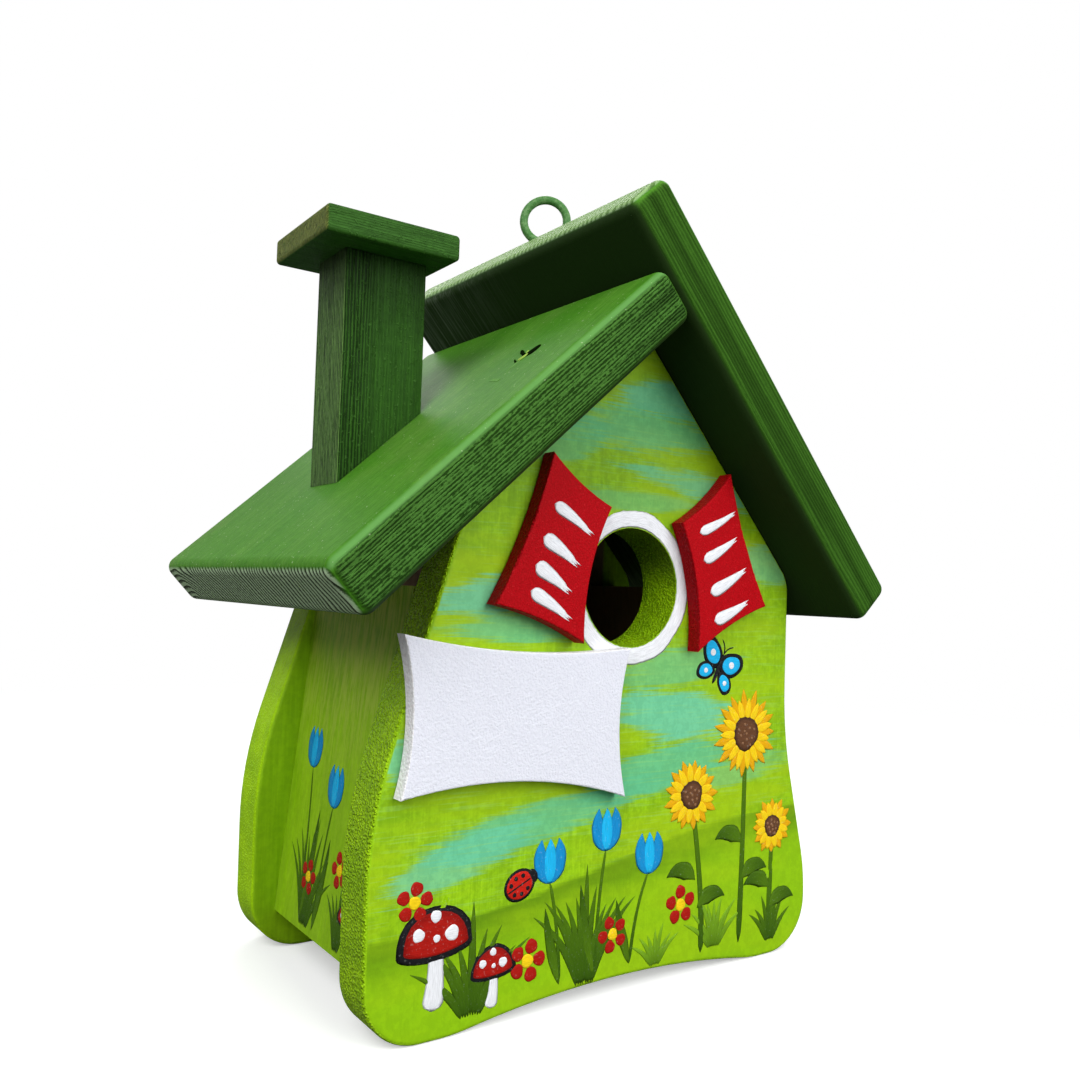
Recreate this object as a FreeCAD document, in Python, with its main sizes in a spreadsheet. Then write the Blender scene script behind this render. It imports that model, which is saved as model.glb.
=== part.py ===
"""Wooden nest box in the shape of a small house, with an asymmetric butt-jointed roof.

Every board, plate, staple, screw and the drop-down floor is a part of its own.
Frame: origin under the middle of the roof at ground level, +Z up, the front faces -Y.
Lengths are millimetres and angles are degrees.
"""
import FreeCAD, Part
import math
import os
import re

import Sketcher
from FreeCAD import Placement, Rotation, Vector

doc = FreeCAD.newDocument("nest_box")
sheet = doc.addObject("Spreadsheet::Sheet", "sizes")

# Driving sizes. House co-ordinates run from the entrance's axis (x) and the front face (y).
SIZES = [
    ("wall_thick", 14, "front, back and side boards"),
    ("inside_depth", 61, "between the front and back boards"),
    ("hole_radius", 16, "entrance bore"),
    ("hole_height", 107.5, "entrance axis above the ground"),
    ("glue_gap", 0.1, "glue line between boards"),
    ("arris", 1.2, "rounding on the wall boards"),
    # roof
    ("right_slope", 48, "right roof board to the horizontal; the left one is square to it"),
    ("apex_x", 2.5, "inner corner of the roof, from the entrance axis"),
    ("apex_z", 177.6, "inner corner of the roof above the ground"),
    ("roof_thick", 15, "both roof boards"),
    ("ridge_rise", 17.9, "right board beyond the left board's top face"),
    ("right_length", 138.3, "right roof board along its slope"),
    ("left_length", 118.3, "left roof board along its slope"),
    ("front_overhang", 19.5, "roof in front of the front board"),
    ("back_overhang", 17, "roof behind the back board"),
    ("roof_round", 3.2, "rounding on the roof boards"),
    # outline of the front and back boards
    ("eave_x", 62, "right side under the roof"),
    ("flare_z", 66, "height where the right side starts to flare"),
    ("foot_right_x", 72.6, "right side at the foot"),
    ("foot_right_z", 23, "height where the flare ends"),
    ("foot_left_x", 74, "left side at the foot, to the left"),
    ("bulge_x", 74.6, "left side at its widest, to the left"),
    ("bulge_z", 52, "height of the left side's widest point"),
    ("shoulder_x", 50.6, "left side under the roof, to the left"),
    ("arch_half", 50, "half the span of the arched bottom"),
    ("arch_round", 293, "radius of the arched bottom"),
    ("eave_round", 10, "rounding of the right shoulder"),
    ("arch_ends", 40, "rounding where the arched bottom meets the feet"),
    ("side_round", 110, "long curves of the sides"),
    ("foot_round", 15, "lower corners"),
    # side boards
    ("side_low", 11.5, "bottom edge of the side boards"),
    ("left_top", 106, "top edge of the left side board"),
    ("right_top", 108, "top edge of the right side board"),
    ("left_wall_x", 67.5, "outer face of the left side board at its bottom, to the left"),
    ("left_lean", 5.8, "lean of the left side board"),
    ("right_wall_x", 64, "outer face of the right side board at its bottom"),
    ("right_lean", 5.4, "lean of the right side board"),
    # drop-down floor
    ("floor_thick", 12, "floor board"),
    ("floor_low", 12.5, "underside of the floor"),
    ("floor_front_gap", 0.5, "in front of the rounded edge"),
    ("floor_rear_gap", 1.0, "behind the swinging edge"),
    ("floor_side_gap", 0.6, "at the top of each end"),
    ("pivot_radius", 1.5, "pivot nail shank"),
    ("pivot_play", 0.05, "running clearance of the nail in the floor"),
    ("pivot_head", 2.6, "pivot nail head radius"),
    ("head_thick", 1.2, "nail head"),
    ("pivot_reach", 14, "nail inside the floor board"),
    ("pivot_end_gap", 1, "bore beyond the nail's point"),
    ("sink_reach", 3, "recess that a nail head is driven through"),
    # chimney
    ("chimney_x", 59, "middle of the chimney, to the left"),
    ("chimney_y", 43.5, "middle of the chimney behind the front face"),
    ("stack_wide", 23.6, "chimney post across"),
    ("stack_deep", 18.6, "chimney post front to back"),
    ("stack_top", 193.3, "top of the post"),
    ("stack_round", 0.8, "post arrises"),
    ("cap_wide", 38, "chimney cap across"),
    ("cap_deep", 36.6, "chimney cap front to back"),
    ("cap_thick", 7, "chimney cap"),
    ("cap_shift", 1.9, "cap's middle left of the post's"),
    ("cap_round", 1.2, "rounding on the cap"),
    ("dowel_radius", 3, "dowel in the cap and the post"),
    ("dowel_in_cap", 4, "dowel inside the cap"),
    ("dowel_in_post", 16, "dowel inside the post"),
    ("screw_radius", 1.75, "chimney screw shank"),
    ("screw_head", 3.8, "chimney screw head radius"),
    ("screw_head_deep", 3.2, "countersunk head"),
    ("screw_length", 33, "chimney screw"),
    ("screw_place", 58, "screw up the left board from its lower end"),
    # plates glued to the front
    ("shutter_thick", 5, "shutters"),
    ("sign_thick", 4.5, "sign"),
    ("plate_round", 0.5, "arrises of the glued plates"),
    ("shutter_inner", 67, "hollow sides of the shutters next to the entrance"),
    ("shutter_outer", 150, "hollow sides of the shutters away from the entrance"),
    ("shutter_head", 60, "hollow tops of the shutters"),
    ("shutter_foot", 85, "hollow feet of the shutters"),
    ("sign_side", 68, "hollow ends of the sign"),
    ("sign_head", 212, "hollow top of the sign"),
    ("sign_foot", 129, "hollow foot of the sign"),
    # hanging eye
    ("eye_x", 4.8, "eye's shank, to the left of the entrance axis"),
    ("eye_y", 40, "eye's shank behind the front face"),
    ("eye_z", 217.5, "middle of the eye"),
    ("eye_ring", 6.5, "ring's middle radius"),
    ("eye_wire", 1.25, "wire radius"),
    ("eye_turn", 35, "ring turned from facing the front"),
    ("eye_depth", 25.5, "shank below the ring's middle"),
    # staples
    ("crown", 5.8, "staple across"),
    ("wire_wide", 1.2, "staple wire across its width"),
    ("wire_deep", 0.9, "staple wire across its depth"),
    ("wall_leg", 25, "legs of the wall staples"),
    ("roof_leg", 30, "legs of the roof staples"),
    ("staple_proud", 0.08, "crown above the wood"),
]

# Sizes worked out from the ones above.
DERIVED = [
    ("left_slope", "90 - right_slope"),
    ("slope_sin", "sin(right_slope)"),
    ("slope_cos", "cos(right_slope)"),
    ("ridge_x", "apex_x - roof_thick * slope_cos"),
    ("ridge_z", "apex_z + roof_thick * slope_sin"),
    ("top_x", "ridge_x - ridge_rise * slope_cos"),
    ("top_z", "ridge_z + ridge_rise * slope_sin"),
    ("left_low_x", "ridge_x - left_length * slope_sin"),
    ("left_low_z", "ridge_z - left_length * slope_cos"),
    ("right_low_x", "top_x + roof_thick * slope_sin + right_length * slope_cos"),
    ("axis_x", "-(left_low_x + right_low_x) / 2"),
    ("wall_depth", "2 * wall_thick + inside_depth"),
    ("roof_depth", "front_overhang + wall_depth + back_overhang"),
    ("front_y", "front_overhang - roof_depth / 2"),
    ("left_flat", "wall_thick / cos(left_lean)"),
    ("right_flat", "wall_thick / cos(right_lean)"),
    ("floor_top", "floor_low + floor_thick"),
    ("floor_left", "left_wall_x - left_flat - (floor_top - side_low) * tan(left_lean) - floor_side_gap"),
    ("floor_right", "right_wall_x - right_flat - (floor_top - side_low) * tan(right_lean) - floor_side_gap"),
    ("pivot_y", "wall_thick + floor_front_gap + floor_thick / 2"),
    ("pivot_z", "floor_low + floor_thick / 2"),
    ("left_head_x", "left_wall_x - (pivot_z - side_low) * tan(left_lean)"),
    ("right_head_x", "right_wall_x - (pivot_z - side_low) * tan(right_lean)"),
    ("screw_x", "left_low_x + screw_place * slope_sin + roof_thick * slope_cos"),
    ("screw_z", "left_low_z + screw_place * slope_cos - roof_thick * slope_sin"),
]

for row, (alias, value, meaning) in enumerate(SIZES, start=1):
    sheet.set(f"A{row}", meaning)
    sheet.set(f"B{row}", str(value))
    sheet.setAlias(f"B{row}", alias)
for row, (alias, formula) in enumerate(DERIVED, start=len(SIZES) + 2):
    sheet.set(f"B{row}", "=" + formula)
    sheet.setAlias(f"B{row}", alias)
doc.recompute()

ALIASES = {entry[0] for entry in SIZES + DERIVED}
FRONT = "front_y"
ALONG_X = Vector(1, 0, 0)
ALONG_Y = Vector(0, 1, 0)
ALONG_Z = Vector(0, 0, 1)
nodes = []


def bound(text):
    """The expression with each alias pointed at the sheet."""
    return re.sub(r"[a-z_]+", lambda m: "sizes." + m[0] if m[0] in ALIASES else m[0], str(text))


def size(text):
    """The present value of an expression."""
    return float(sheet.evalExpression(str(text)))


def place(item, x_text, y_text, z_text, axis=None, angle="0"):
    """Bind an object's position, and its turn about a fixed axis."""
    if axis is not None:
        item.Placement = Placement(Vector(), Rotation(axis, 1))
        item.setExpression("Placement.Rotation.Angle", bound(angle))
    item.setExpression("Placement.Base.x", bound(x_text))
    item.setExpression("Placement.Base.y", bound(y_text))
    item.setExpression("Placement.Base.z", bound(z_text))


def house(x_text):
    """A house x (from the entrance's axis) in the part's frame."""
    return f"axis_x + ({x_text})"


def behind(y_text):
    """A house y (behind the front face) in the part's frame."""
    return f"front_y + ({y_text})"


def new(kind, name, **values):
    """Add an object. Text values are expressions, others are set as they are."""
    item = doc.addObject(kind, name)
    for key, value in values.items():
        if isinstance(value, str):
            item.setExpression(key, bound(value))
        else:
            setattr(item, key, value)
    return item


def cylinder(name, radius, height):
    return new("Part::Cylinder", name, Radius=radius, Height=height)


def node(item, label):
    """Name a finished sub-part, which is written to a file of that name."""
    item.Label = label
    nodes.append(item)
    return item


def cut(label, base, *tools):
    """Take hardware and bores out of a board and make the result a sub-part."""
    tool = tools[0]
    if len(tools) > 1:
        tool = new("Part::Compound", label + "_holes", Links=list(tools))
    return node(new("Part::Cut", label + "_bored", Base=base, Tool=tool), label)


def origin_plane(body, role):
    return next(plane for plane in body.Origin.OriginFeatures if plane.Role == role)


def new_sketch(body, name, role):
    sketch = body.newObject("Sketcher::SketchObject", name)
    sketch.AttachmentSupport = (origin_plane(body, role), "")
    sketch.MapMode = "FlatFace"
    return sketch


def constrain(sketch, kind, *where, text=None):
    """Add a constraint, with its value bound to an expression where it has one."""
    if text is None:
        sketch.addConstraint(Sketcher.Constraint(kind, *where))
        return
    index = sketch.addConstraint(Sketcher.Constraint(kind, *where, size(text)))
    sketch.setExpression(f"Constraints[{index}]", bound(text))


def arc_between(start, end, radius, outward):
    """Arc from start to end of an anticlockwise outline, bulging outward or inward."""
    chord = end - start
    middle = (start + end) * 0.5
    inner = Vector(-chord.y, chord.x, 0).normalize()
    reach = math.sqrt(radius**2 - (chord.Length / 2) ** 2)
    centre = middle + inner * (reach if outward else -reach)
    first, last = (start, end) if outward else (end, start)
    begin = math.atan2(first.y - centre.y, first.x - centre.x)
    finish = math.atan2(last.y - centre.y, last.x - centre.x)
    if finish < begin:
        finish += 2 * math.pi
    return Part.ArcOfCircle(Part.Circle(centre, Vector(0, 0, 1), radius), begin, finish)


def draw_outline(sketch, corners, arcs=None):
    """Closed anticlockwise outline through corners, whose co-ordinates are expressions.

    arcs gives, for the side that starts at a corner, its radius and whether it bulges outward.
    """
    arcs = arcs or {}
    points = [Vector(size(x_text), size(y_text), 0) for x_text, y_text in corners]
    count = len(points)
    ends = []
    for side in range(count):
        start, finish = points[side], points[(side + 1) % count]
        if side in arcs:
            radius, outward = arcs[side]
            sketch.addGeometry(arc_between(start, finish, size(radius), outward), False)
            ends.append((1, 2) if outward else (2, 1))
        else:
            sketch.addGeometry(Part.LineSegment(start, finish), False)
            ends.append((1, 2))
    for side in range(count):
        following = (side + 1) % count
        constrain(sketch, "Coincident", side, ends[side][1], following, ends[following][0])
    for side, (x_text, y_text) in enumerate(corners):
        constrain(sketch, "DistanceX", -1, 1, side, ends[side][0], text=x_text)
        constrain(sketch, "DistanceY", -1, 1, side, ends[side][0], text=y_text)
    for side, (radius, _) in arcs.items():
        constrain(sketch, "Radius", side, text=radius)


def draw_circle(sketch, x_text, y_text, radius):
    middle = Vector(size(x_text), size(y_text), 0)
    sketch.addGeometry(Part.Circle(middle, Vector(0, 0, 1), size(radius)), False)
    constrain(sketch, "DistanceX", -1, 1, 0, 3, text=x_text)
    constrain(sketch, "DistanceY", -1, 1, 0, 3, text=y_text)
    constrain(sketch, "Radius", 0, text=radius)


def plate(name, role, corners, thick, arcs=None, backward=False):
    """Body with one outline padded to a thickness. backward pads against the plane's normal."""
    body = doc.addObject("PartDesign::Body", name)
    sketch = new_sketch(body, name + "_outline", role)
    draw_outline(sketch, corners, arcs)
    pad = body.newObject("PartDesign::Pad", name + "_pad")
    pad.Profile = sketch
    pad.Reversed = backward
    pad.setExpression("Length", bound(thick))
    doc.recompute()
    return body


def round_edges(body, name, radius, chosen):
    """Fillet the edges of the body's shape that chosen(edge) accepts."""
    base = body.Tip
    names = [f"Edge{i}" for i, edge in enumerate(base.Shape.Edges, start=1) if chosen(edge)]
    fillet = body.newObject("PartDesign::Fillet", name)
    fillet.Base = (base, names)
    fillet.setExpression("Radius", bound(radius))
    doc.recompute()
    return fillet


def along(edge, direction):
    """Whether a straight edge runs along a direction."""
    if not isinstance(edge.Curve, Part.Line):
        return False
    return abs(edge.Curve.Direction.dot(direction)) > 0.999


def near(edge, x, z, reach=0.5):
    """Whether an edge's middle lies over a point of the XZ plane."""
    middle = edge.BoundBox.Center
    return math.hypot(middle.x - x, middle.z - z) < reach


# ---------------------------------------------------------------- front and back boards
# Both are cut to one outline: a gable that follows the roof's inner faces, a right side that
# drops straight and then flares, a left side that leans out and bulges, and an arched bottom.
gable_z = "apex_z - glue_gap / slope_cos"
RIGHT_EAVE = ("eave_x", f"{gable_z} - (eave_x - apex_x) * tan(right_slope)")
LEFT_EAVE = ("-shoulder_x", f"{gable_z} - (shoulder_x + apex_x) * tan(left_slope)")
OUTLINE = [
    ("apex_x", gable_z),
    LEFT_EAVE,
    ("-bulge_x", "bulge_z"),
    ("-foot_left_x", "0"),
    ("-arch_half", "0"),
    ("arch_half", "0"),
    ("foot_right_x", "0"),
    ("foot_right_x", "foot_right_z"),
    ("eave_x", "flare_z"),
    RIGHT_EAVE,
]
ARCH_SIDE = 4
CORNER_ROUNDS = [
    ("eave_round", [RIGHT_EAVE]),
    ("side_round", [("eave_x", "flare_z"), ("-bulge_x", "bulge_z")]),
    ("side_round / 2", [("foot_right_x", "foot_right_z")]),
    ("foot_round", [("foot_right_x", "0"), ("-foot_left_x", "0")]),
    ("arch_ends", [("arch_half", "0"), ("-arch_half", "0")]),
]


def wall_board(name, y_text):
    body = plate(name, "XZ_Plane", OUTLINE, "wall_thick", {ARCH_SIDE: ("arch_round", False)}, True)
    for number, (radius, corners) in enumerate(CORNER_ROUNDS):
        spots = [(size(x_text), size(z_text)) for x_text, z_text in corners]
        round_edges(body, f"{name}_corner_{number}", radius,
                    lambda edge: along(edge, ALONG_Y) and any(near(edge, *spot) for spot in spots))
    round_edges(body, name + "_arris", "arris", lambda edge: edge.BoundBox.YLength < 0.01)
    place(body, "axis_x", y_text, "0")
    return body


front_board = wall_board("front_board", FRONT)
entrance = new_sketch(front_board, "entrance_circle", "XZ_Plane")
draw_circle(entrance, "0", "hole_height", "hole_radius")
bore = front_board.newObject("PartDesign::Pocket", "entrance_bore")
bore.Profile = entrance
bore.Type = "ThroughAll"
back_board = wall_board("back_board", behind("wall_thick + inside_depth"))

# ---------------------------------------------------------------- side boards
# Straight boards between the front and back boards, leaning in towards the top.


def side_board(name, sign, low_x, top_z, lean, flat):
    rise = f"({top_z} - side_low) * tan({lean})"
    outer = [(f"{sign}{low_x}", "side_low"), (f"{sign}({low_x} - {rise})", top_z)]
    inner = [(f"{sign}({low_x} - {rise} - {flat})", top_z), (f"{sign}({low_x} - {flat})", "side_low")]
    corners = outer + inner
    if sign == "-":
        corners.reverse()
    body = plate(name, "XZ_Plane", corners, "inside_depth - 2 * glue_gap", None, True)
    place(body, "axis_x", behind("wall_thick + glue_gap"), "0")
    return body


left_side = side_board("left_side", "-", "left_wall_x", "left_top", "left_lean", "left_flat")
right_side = side_board("right_side", "", "right_wall_x", "right_top", "right_lean", "right_flat")

# ---------------------------------------------------------------- roof boards
# Two planed boards, all arrises rounded. The left one butts against the right one's inner face.


def roof_board(name, length, x_text, z_text, angle):
    corners = [("0", "0"), (length, "0"), (length, "roof_depth"), ("0", "roof_depth")]
    body = plate(name, "XY_Plane", corners, "roof_thick")
    round_edges(body, name + "_arris", "roof_round", lambda edge: True)
    place(body, house(x_text), behind("-front_overhang"), z_text, ALONG_Y, angle)
    return body


right_roof = roof_board("right_roof", "right_length", "top_x", "top_z", "right_slope")
left_roof = roof_board(
    "left_roof", "left_length - glue_gap",
    "left_low_x + roof_thick * slope_cos", "left_low_z - roof_thick * slope_sin", "-left_slope")

# ---------------------------------------------------------------- drop-down floor
# Its front edge is rounded about two pivot nails, so the back edge swings down and out.
floor_front = "wall_thick + floor_front_gap"
floor_back = "wall_thick + inside_depth - floor_rear_gap"
floor_body = plate("floor_body", "YZ_Plane", [
    (floor_front, "floor_low"),
    (floor_back, "floor_low"),
    (floor_back, "floor_top"),
    (floor_front, "floor_top"),
], "floor_left + floor_right")
front_of_floor = size(floor_front)
round_edges(floor_body, "floor_round", "floor_thick / 2 - pivot_play",
            lambda edge: along(edge, ALONG_X) and abs(edge.BoundBox.YMin - front_of_floor) < 0.01)
place(floor_body, house("-floor_left"), FRONT, "0")


def pivot_nail(name, head_x, floor_end, turn):
    """Nail along X, its head flush with a side board and its point inside the floor."""
    long = f"{head_x} - {floor_end} + pivot_reach"
    shank = cylinder(name + "_shank", "pivot_radius", long)
    head = cylinder(name + "_head", "pivot_head", "head_thick")
    whole = new("Part::Fuse", name, Base=shank, Tool=head)
    bore = cylinder(name + "_bore", "pivot_radius + pivot_play", f"{long} + pivot_end_gap")
    sink = cylinder(name + "_sink", "pivot_head", "sink_reach")
    sign = "-" if turn > 0 else ""
    for item, x_text in ((whole, head_x), (bore, head_x), (sink, f"({head_x} + sink_reach)")):
        place(item, house(sign + x_text), behind("pivot_y"), "pivot_z", ALONG_Y, str(turn))
    return whole, bore, sink


left_nail, left_bore, left_sink = pivot_nail("left_nail", "left_head_x", "floor_left", 90)
right_nail, right_bore, right_sink = pivot_nail("right_nail", "right_head_x", "floor_right", -90)

# ---------------------------------------------------------------- chimney
# A square post with its foot cut to the left board's slope, and a square cap on a dowel.


def left_roof_z(x_text):
    """Height of the left board's top face at a house x."""
    return f"ridge_z + glue_gap / slope_sin - (ridge_x - ({x_text})) * tan(left_slope)"


post_left = "-chimney_x - stack_wide / 2"
post_right = "-chimney_x + stack_wide / 2"
post = plate("post", "XZ_Plane", [
    (post_left, left_roof_z(post_left)),
    (post_right, left_roof_z(post_right)),
    (post_right, "stack_top"),
    (post_left, "stack_top"),
], "stack_deep", None, True)
round_edges(post, "post_arris", "stack_round", lambda edge: along(edge, ALONG_Z))
place(post, "axis_x", behind("chimney_y - stack_deep / 2"), "0")

cap = plate("cap", "XY_Plane", [
    ("-cap_wide / 2", "-cap_deep / 2"),
    ("cap_wide / 2", "-cap_deep / 2"),
    ("cap_wide / 2", "cap_deep / 2"),
    ("-cap_wide / 2", "cap_deep / 2"),
], "cap_thick")
round_edges(cap, "cap_arris", "cap_round", lambda edge: True)
place(cap, house("-chimney_x - cap_shift"), behind("chimney_y"), "stack_top + glue_gap")

dowel = cylinder("dowel", "dowel_radius", "dowel_in_cap + dowel_in_post + glue_gap")
place(dowel, house("-chimney_x"), behind("chimney_y"), "stack_top - dowel_in_post")

screw_shank = cylinder("screw_shank", "screw_radius", "screw_length")
screw_cone = new("Part::Cone", "screw_cone", Radius1="screw_head", Radius2="screw_radius",
                 Height="screw_head_deep")
screw = new("Part::Fuse", "screw", Base=screw_shank, Tool=screw_cone)
place(screw, house("screw_x"), behind("chimney_y"), "screw_z", ALONG_Y, "-left_slope")

# ---------------------------------------------------------------- shutters and sign
# Thin boards sawn with hollow sides and glued to the front. Each corner is followed by the
# radius of the side that runs on from it, anticlockwise as the house is faced.


def glued_plate(name, sides, thick):
    corners = [(str(x), str(z)) for x, z, _ in sides]
    arcs = {number: (radius, False) for number, (_, _, radius) in enumerate(sides)}
    body = plate(name + "_board", "XZ_Plane", corners, thick, arcs)
    round_edges(body, name + "_arris", "plate_round", lambda edge: edge.BoundBox.YLength < 0.01)
    place(body, "axis_x", behind("-glue_gap"), "0")
    return node(body, name)


glued_plate("left_shutter", [
    (-30.2, 140.6, "shutter_outer"),
    (-45.8, 102.3, "shutter_foot"),
    (-19.0, 92.8, "shutter_inner"),
    (-11.3, 128.1, "shutter_head"),
], "shutter_thick")
glued_plate("right_shutter", [
    (31.3, 140.6, "shutter_head"),
    (13.2, 125.6, "shutter_inner"),
    (20.6, 90.3, "shutter_foot"),
    (46.9, 103.4, "shutter_outer"),
], "shutter_thick")
glued_plate("sign_board", [
    (-69.4, 95.2, "sign_side"),
    (-68.7, 57.7, "sign_foot"),
    (-3.6, 52.8, "sign_side"),
    (-3.2, 91.6, "sign_head"),
], "sign_thick")

# ---------------------------------------------------------------- hanging eye
# A wire ring on a shank, screwed upright into the right board next to the ridge.
eye_ring = new("Part::Torus", "eye_ring", Radius1="eye_ring", Radius2="eye_wire",
               Placement=Placement(Vector(), Rotation(ALONG_X, 90)))
eye_shank = cylinder("eye_shank", "eye_wire", "eye_depth - eye_ring")
place(eye_shank, "0", "0", "-eye_depth")
eye = new("Part::Fuse", "eye", Base=eye_ring, Tool=eye_shank)
place(eye, house("-eye_x"), behind("eye_y"), "eye_z", ALONG_Z, "-eye_turn")

# ---------------------------------------------------------------- staples
# Each group is laid out on the face that it is driven into: x and y on the face, and how far
# the crown is turned. The legs run into the wood.


def staple(name, x_text, y_text, turn, leg):
    outer = new("Part::Box", name + "_outer", Length="crown", Width="wire_wide", Height=leg)
    place(outer, "-crown / 2", "-wire_wide / 2", f"-({leg})")
    inner = new("Part::Box", name + "_inner", Length="crown - 2 * wire_deep",
                Width="3 * wire_wide", Height=leg)
    place(inner, "-crown / 2 + wire_deep", "-1.5 * wire_wide", f"-({leg}) - wire_deep")
    bent = new("Part::Cut", name, Base=outer, Tool=inner)
    place(bent, x_text, y_text, "staple_proud", ALONG_Z, str(turn))
    return bent


def staple_group(name, spots, leg):
    links = [staple(f"{name}_{number}", *spot, leg) for number, spot in enumerate(spots)]
    return node(new("Part::Compound", name + "_set", Links=links), name)


front_staples = staple_group("front_wall_staples", [
    ("-54.7", "30.6", 62),
    ("57", "25.2", 57),
    ("-53", "84", 80),
], "wall_leg")
place(front_staples, "axis_x", FRONT, "0", ALONG_X, "90")

back_staples = staple_group("back_wall_staples", [
    ("57", "30", 60),
    ("51.5", "88", 75),
    ("-53", "30", 120),
    ("-49", "88", 100),
], "wall_leg")
place(back_staples, "axis_x", behind("wall_depth"), "0", Vector(0, 1, 1), "180")

over_front = "front_overhang + wall_thick / 2"
over_back = "front_overhang + wall_depth - wall_thick / 2"
right_staples = staple_group("right_roof_staples", [
    ("ridge_rise + roof_thick + 24", over_front, 70),
    ("ridge_rise + roof_thick + 60", over_front, 95),
    ("ridge_rise + roof_thick + 24", over_back, 100),
    ("ridge_rise + roof_thick + 60", over_back, 85),
], "roof_leg")
ridge_staples = staple_group("ridge_staples", [
    ("ridge_rise + roof_thick / 2", "roof_depth * 0.2", 85),
    ("ridge_rise + roof_thick / 2", "roof_depth * 0.72", 95),
    ("ridge_rise + roof_thick / 2", "roof_depth * 0.9", 90),
], "roof_leg")
for group in (right_staples, ridge_staples):
    place(group, house("top_x"), behind("-front_overhang"), "top_z", ALONG_Y, "right_slope")

left_staples = staple_group("left_roof_staples", [
    ("left_length - 45", over_front, 75),
    ("left_length - 45", over_back, 95),
], "roof_leg")
place(left_staples, house("left_low_x + roof_thick * slope_cos"), behind("-front_overhang"),
      "left_low_z - roof_thick * slope_sin", ALONG_Y, "-left_slope")

# The crowns of the roof groups lie on the boards' top faces.
for group in (right_staples, ridge_staples, left_staples):
    for link in group.Links:
        link.setExpression("Placement.Base.z", bound("roof_thick + staple_proud"))

# ---------------------------------------------------------------- finished sub-parts
cut("front_wall", front_board, front_staples, left_staples, right_staples)
cut("back_wall", back_board, back_staples, left_staples, right_staples)
cut("left_side_wall", left_side, front_staples, back_staples, left_nail, left_sink)
cut("right_side_wall", right_side, front_staples, back_staples, right_nail, right_sink)
cut("right_roof_board", right_roof, right_staples, ridge_staples, eye)
cut("left_roof_board", left_roof, left_staples, ridge_staples, screw)
cut("drop_floor", floor_body, left_bore, right_bore)
cut("chimney_stack", post, dowel, screw)
cut("chimney_cap", cap, dowel)
node(dowel, "chimney_dowel")
node(screw, "chimney_screw")
node(eye, "hanging_eye")
node(new("Part::Compound", "nails", Links=[left_nail, right_nail]), "floor_pivot_nails")

doc.recompute()
for item in doc.Objects:
    if {"Invalid", "Error"} & set(item.State):
        raise RuntimeError(f"{item.Name} did not compute: {item.State}")
for item in nodes:
    if item.Shape.isNull() or not item.Shape.isValid() or not item.Shape.Solids:
        raise RuntimeError(f"{item.Label} has no valid solid")

os.makedirs("parts", exist_ok=True)
for item in nodes:
    item.Shape.exportStep(os.path.join("parts", item.Label + ".step"))
    box = item.Shape.BoundBox
    print(f"{item.Label}: {len(item.Shape.Solids)} solid(s), {item.Shape.Volume / 1000:.2f} cm3, "
          f"{box.XMin:.1f}..{box.XMax:.1f}, {box.YMin:.1f}..{box.YMax:.1f}, {box.ZMin:.1f}..{box.ZMax:.1f}")
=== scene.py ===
"""Looks of the painted nest box: sawn and brushed boards, cut-out plates, brushwork and hardware."""
import math

import bmesh
import bpy
import numpy as np
from mathutils import Matrix, Vector


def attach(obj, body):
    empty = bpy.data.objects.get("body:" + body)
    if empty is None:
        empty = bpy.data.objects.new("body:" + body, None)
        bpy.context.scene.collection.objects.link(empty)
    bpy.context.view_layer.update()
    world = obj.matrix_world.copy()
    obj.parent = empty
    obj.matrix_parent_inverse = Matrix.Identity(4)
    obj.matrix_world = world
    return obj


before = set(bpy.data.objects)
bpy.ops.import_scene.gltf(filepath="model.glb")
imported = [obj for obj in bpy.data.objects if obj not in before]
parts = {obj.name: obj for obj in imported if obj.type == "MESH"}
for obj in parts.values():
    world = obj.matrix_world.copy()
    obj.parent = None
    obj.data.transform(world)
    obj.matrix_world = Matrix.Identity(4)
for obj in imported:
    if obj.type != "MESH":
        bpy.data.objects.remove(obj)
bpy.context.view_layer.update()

# ------------------------------------------------------------------------------------ roof boards
# Two planed softwood boards under thin dark green paint. The long edges are left as they come
# off the saw, with ribs along the board, and the lower ends show the growth rings.


def rgb(red, green, blue):
    """A linear colour with its alpha."""
    return (red, green, blue, 1.0)


def add(tree, kind, inputs=None, **settings):
    """Add a node. inputs maps its sockets, by name or number, to values or to other sockets."""
    made = tree.nodes.new(kind)
    for name, value in settings.items():
        setattr(made, name, value)
    for name, value in (inputs or {}).items():
        if isinstance(value, bpy.types.NodeSocket):
            tree.links.new(value, made.inputs[name])
        else:
            made.inputs[name].default_value = value
    return made


def calc(tree, operation, *values):
    """One sum on numbers or sockets."""
    return add(tree, "ShaderNodeMath", dict(enumerate(values)), operation=operation).outputs[0]


def fade(tree, value, low, high, start=0.0, end=1.0):
    """A smooth step: start below low, end above high."""
    inputs = {"Value": value, "From Min": low, "From Max": high, "To Min": start, "To Max": end}
    made = add(tree, "ShaderNodeMapRange", inputs, interpolation_type="SMOOTHSTEP")
    return made.outputs["Result"]


def tint(tree, factor, first, second, mode="MIX"):
    """Mix two colours."""
    inputs = {0: factor, 6: first, 7: second}
    return add(tree, "ShaderNodeMix", inputs, data_type="RGBA", blend_type=mode).outputs[2]


def stretch(tree, vector, scale, turn=(0, 0, 0), shift=(0, 0, 0), kind="POINT"):
    """The vector turned, scaled along each axis and shifted."""
    inputs = {"Vector": vector, "Scale": scale, "Rotation": turn}
    if kind == "POINT":
        inputs["Location"] = shift
    return add(tree, "ShaderNodeMapping", inputs, vector_type=kind).outputs["Vector"]


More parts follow.
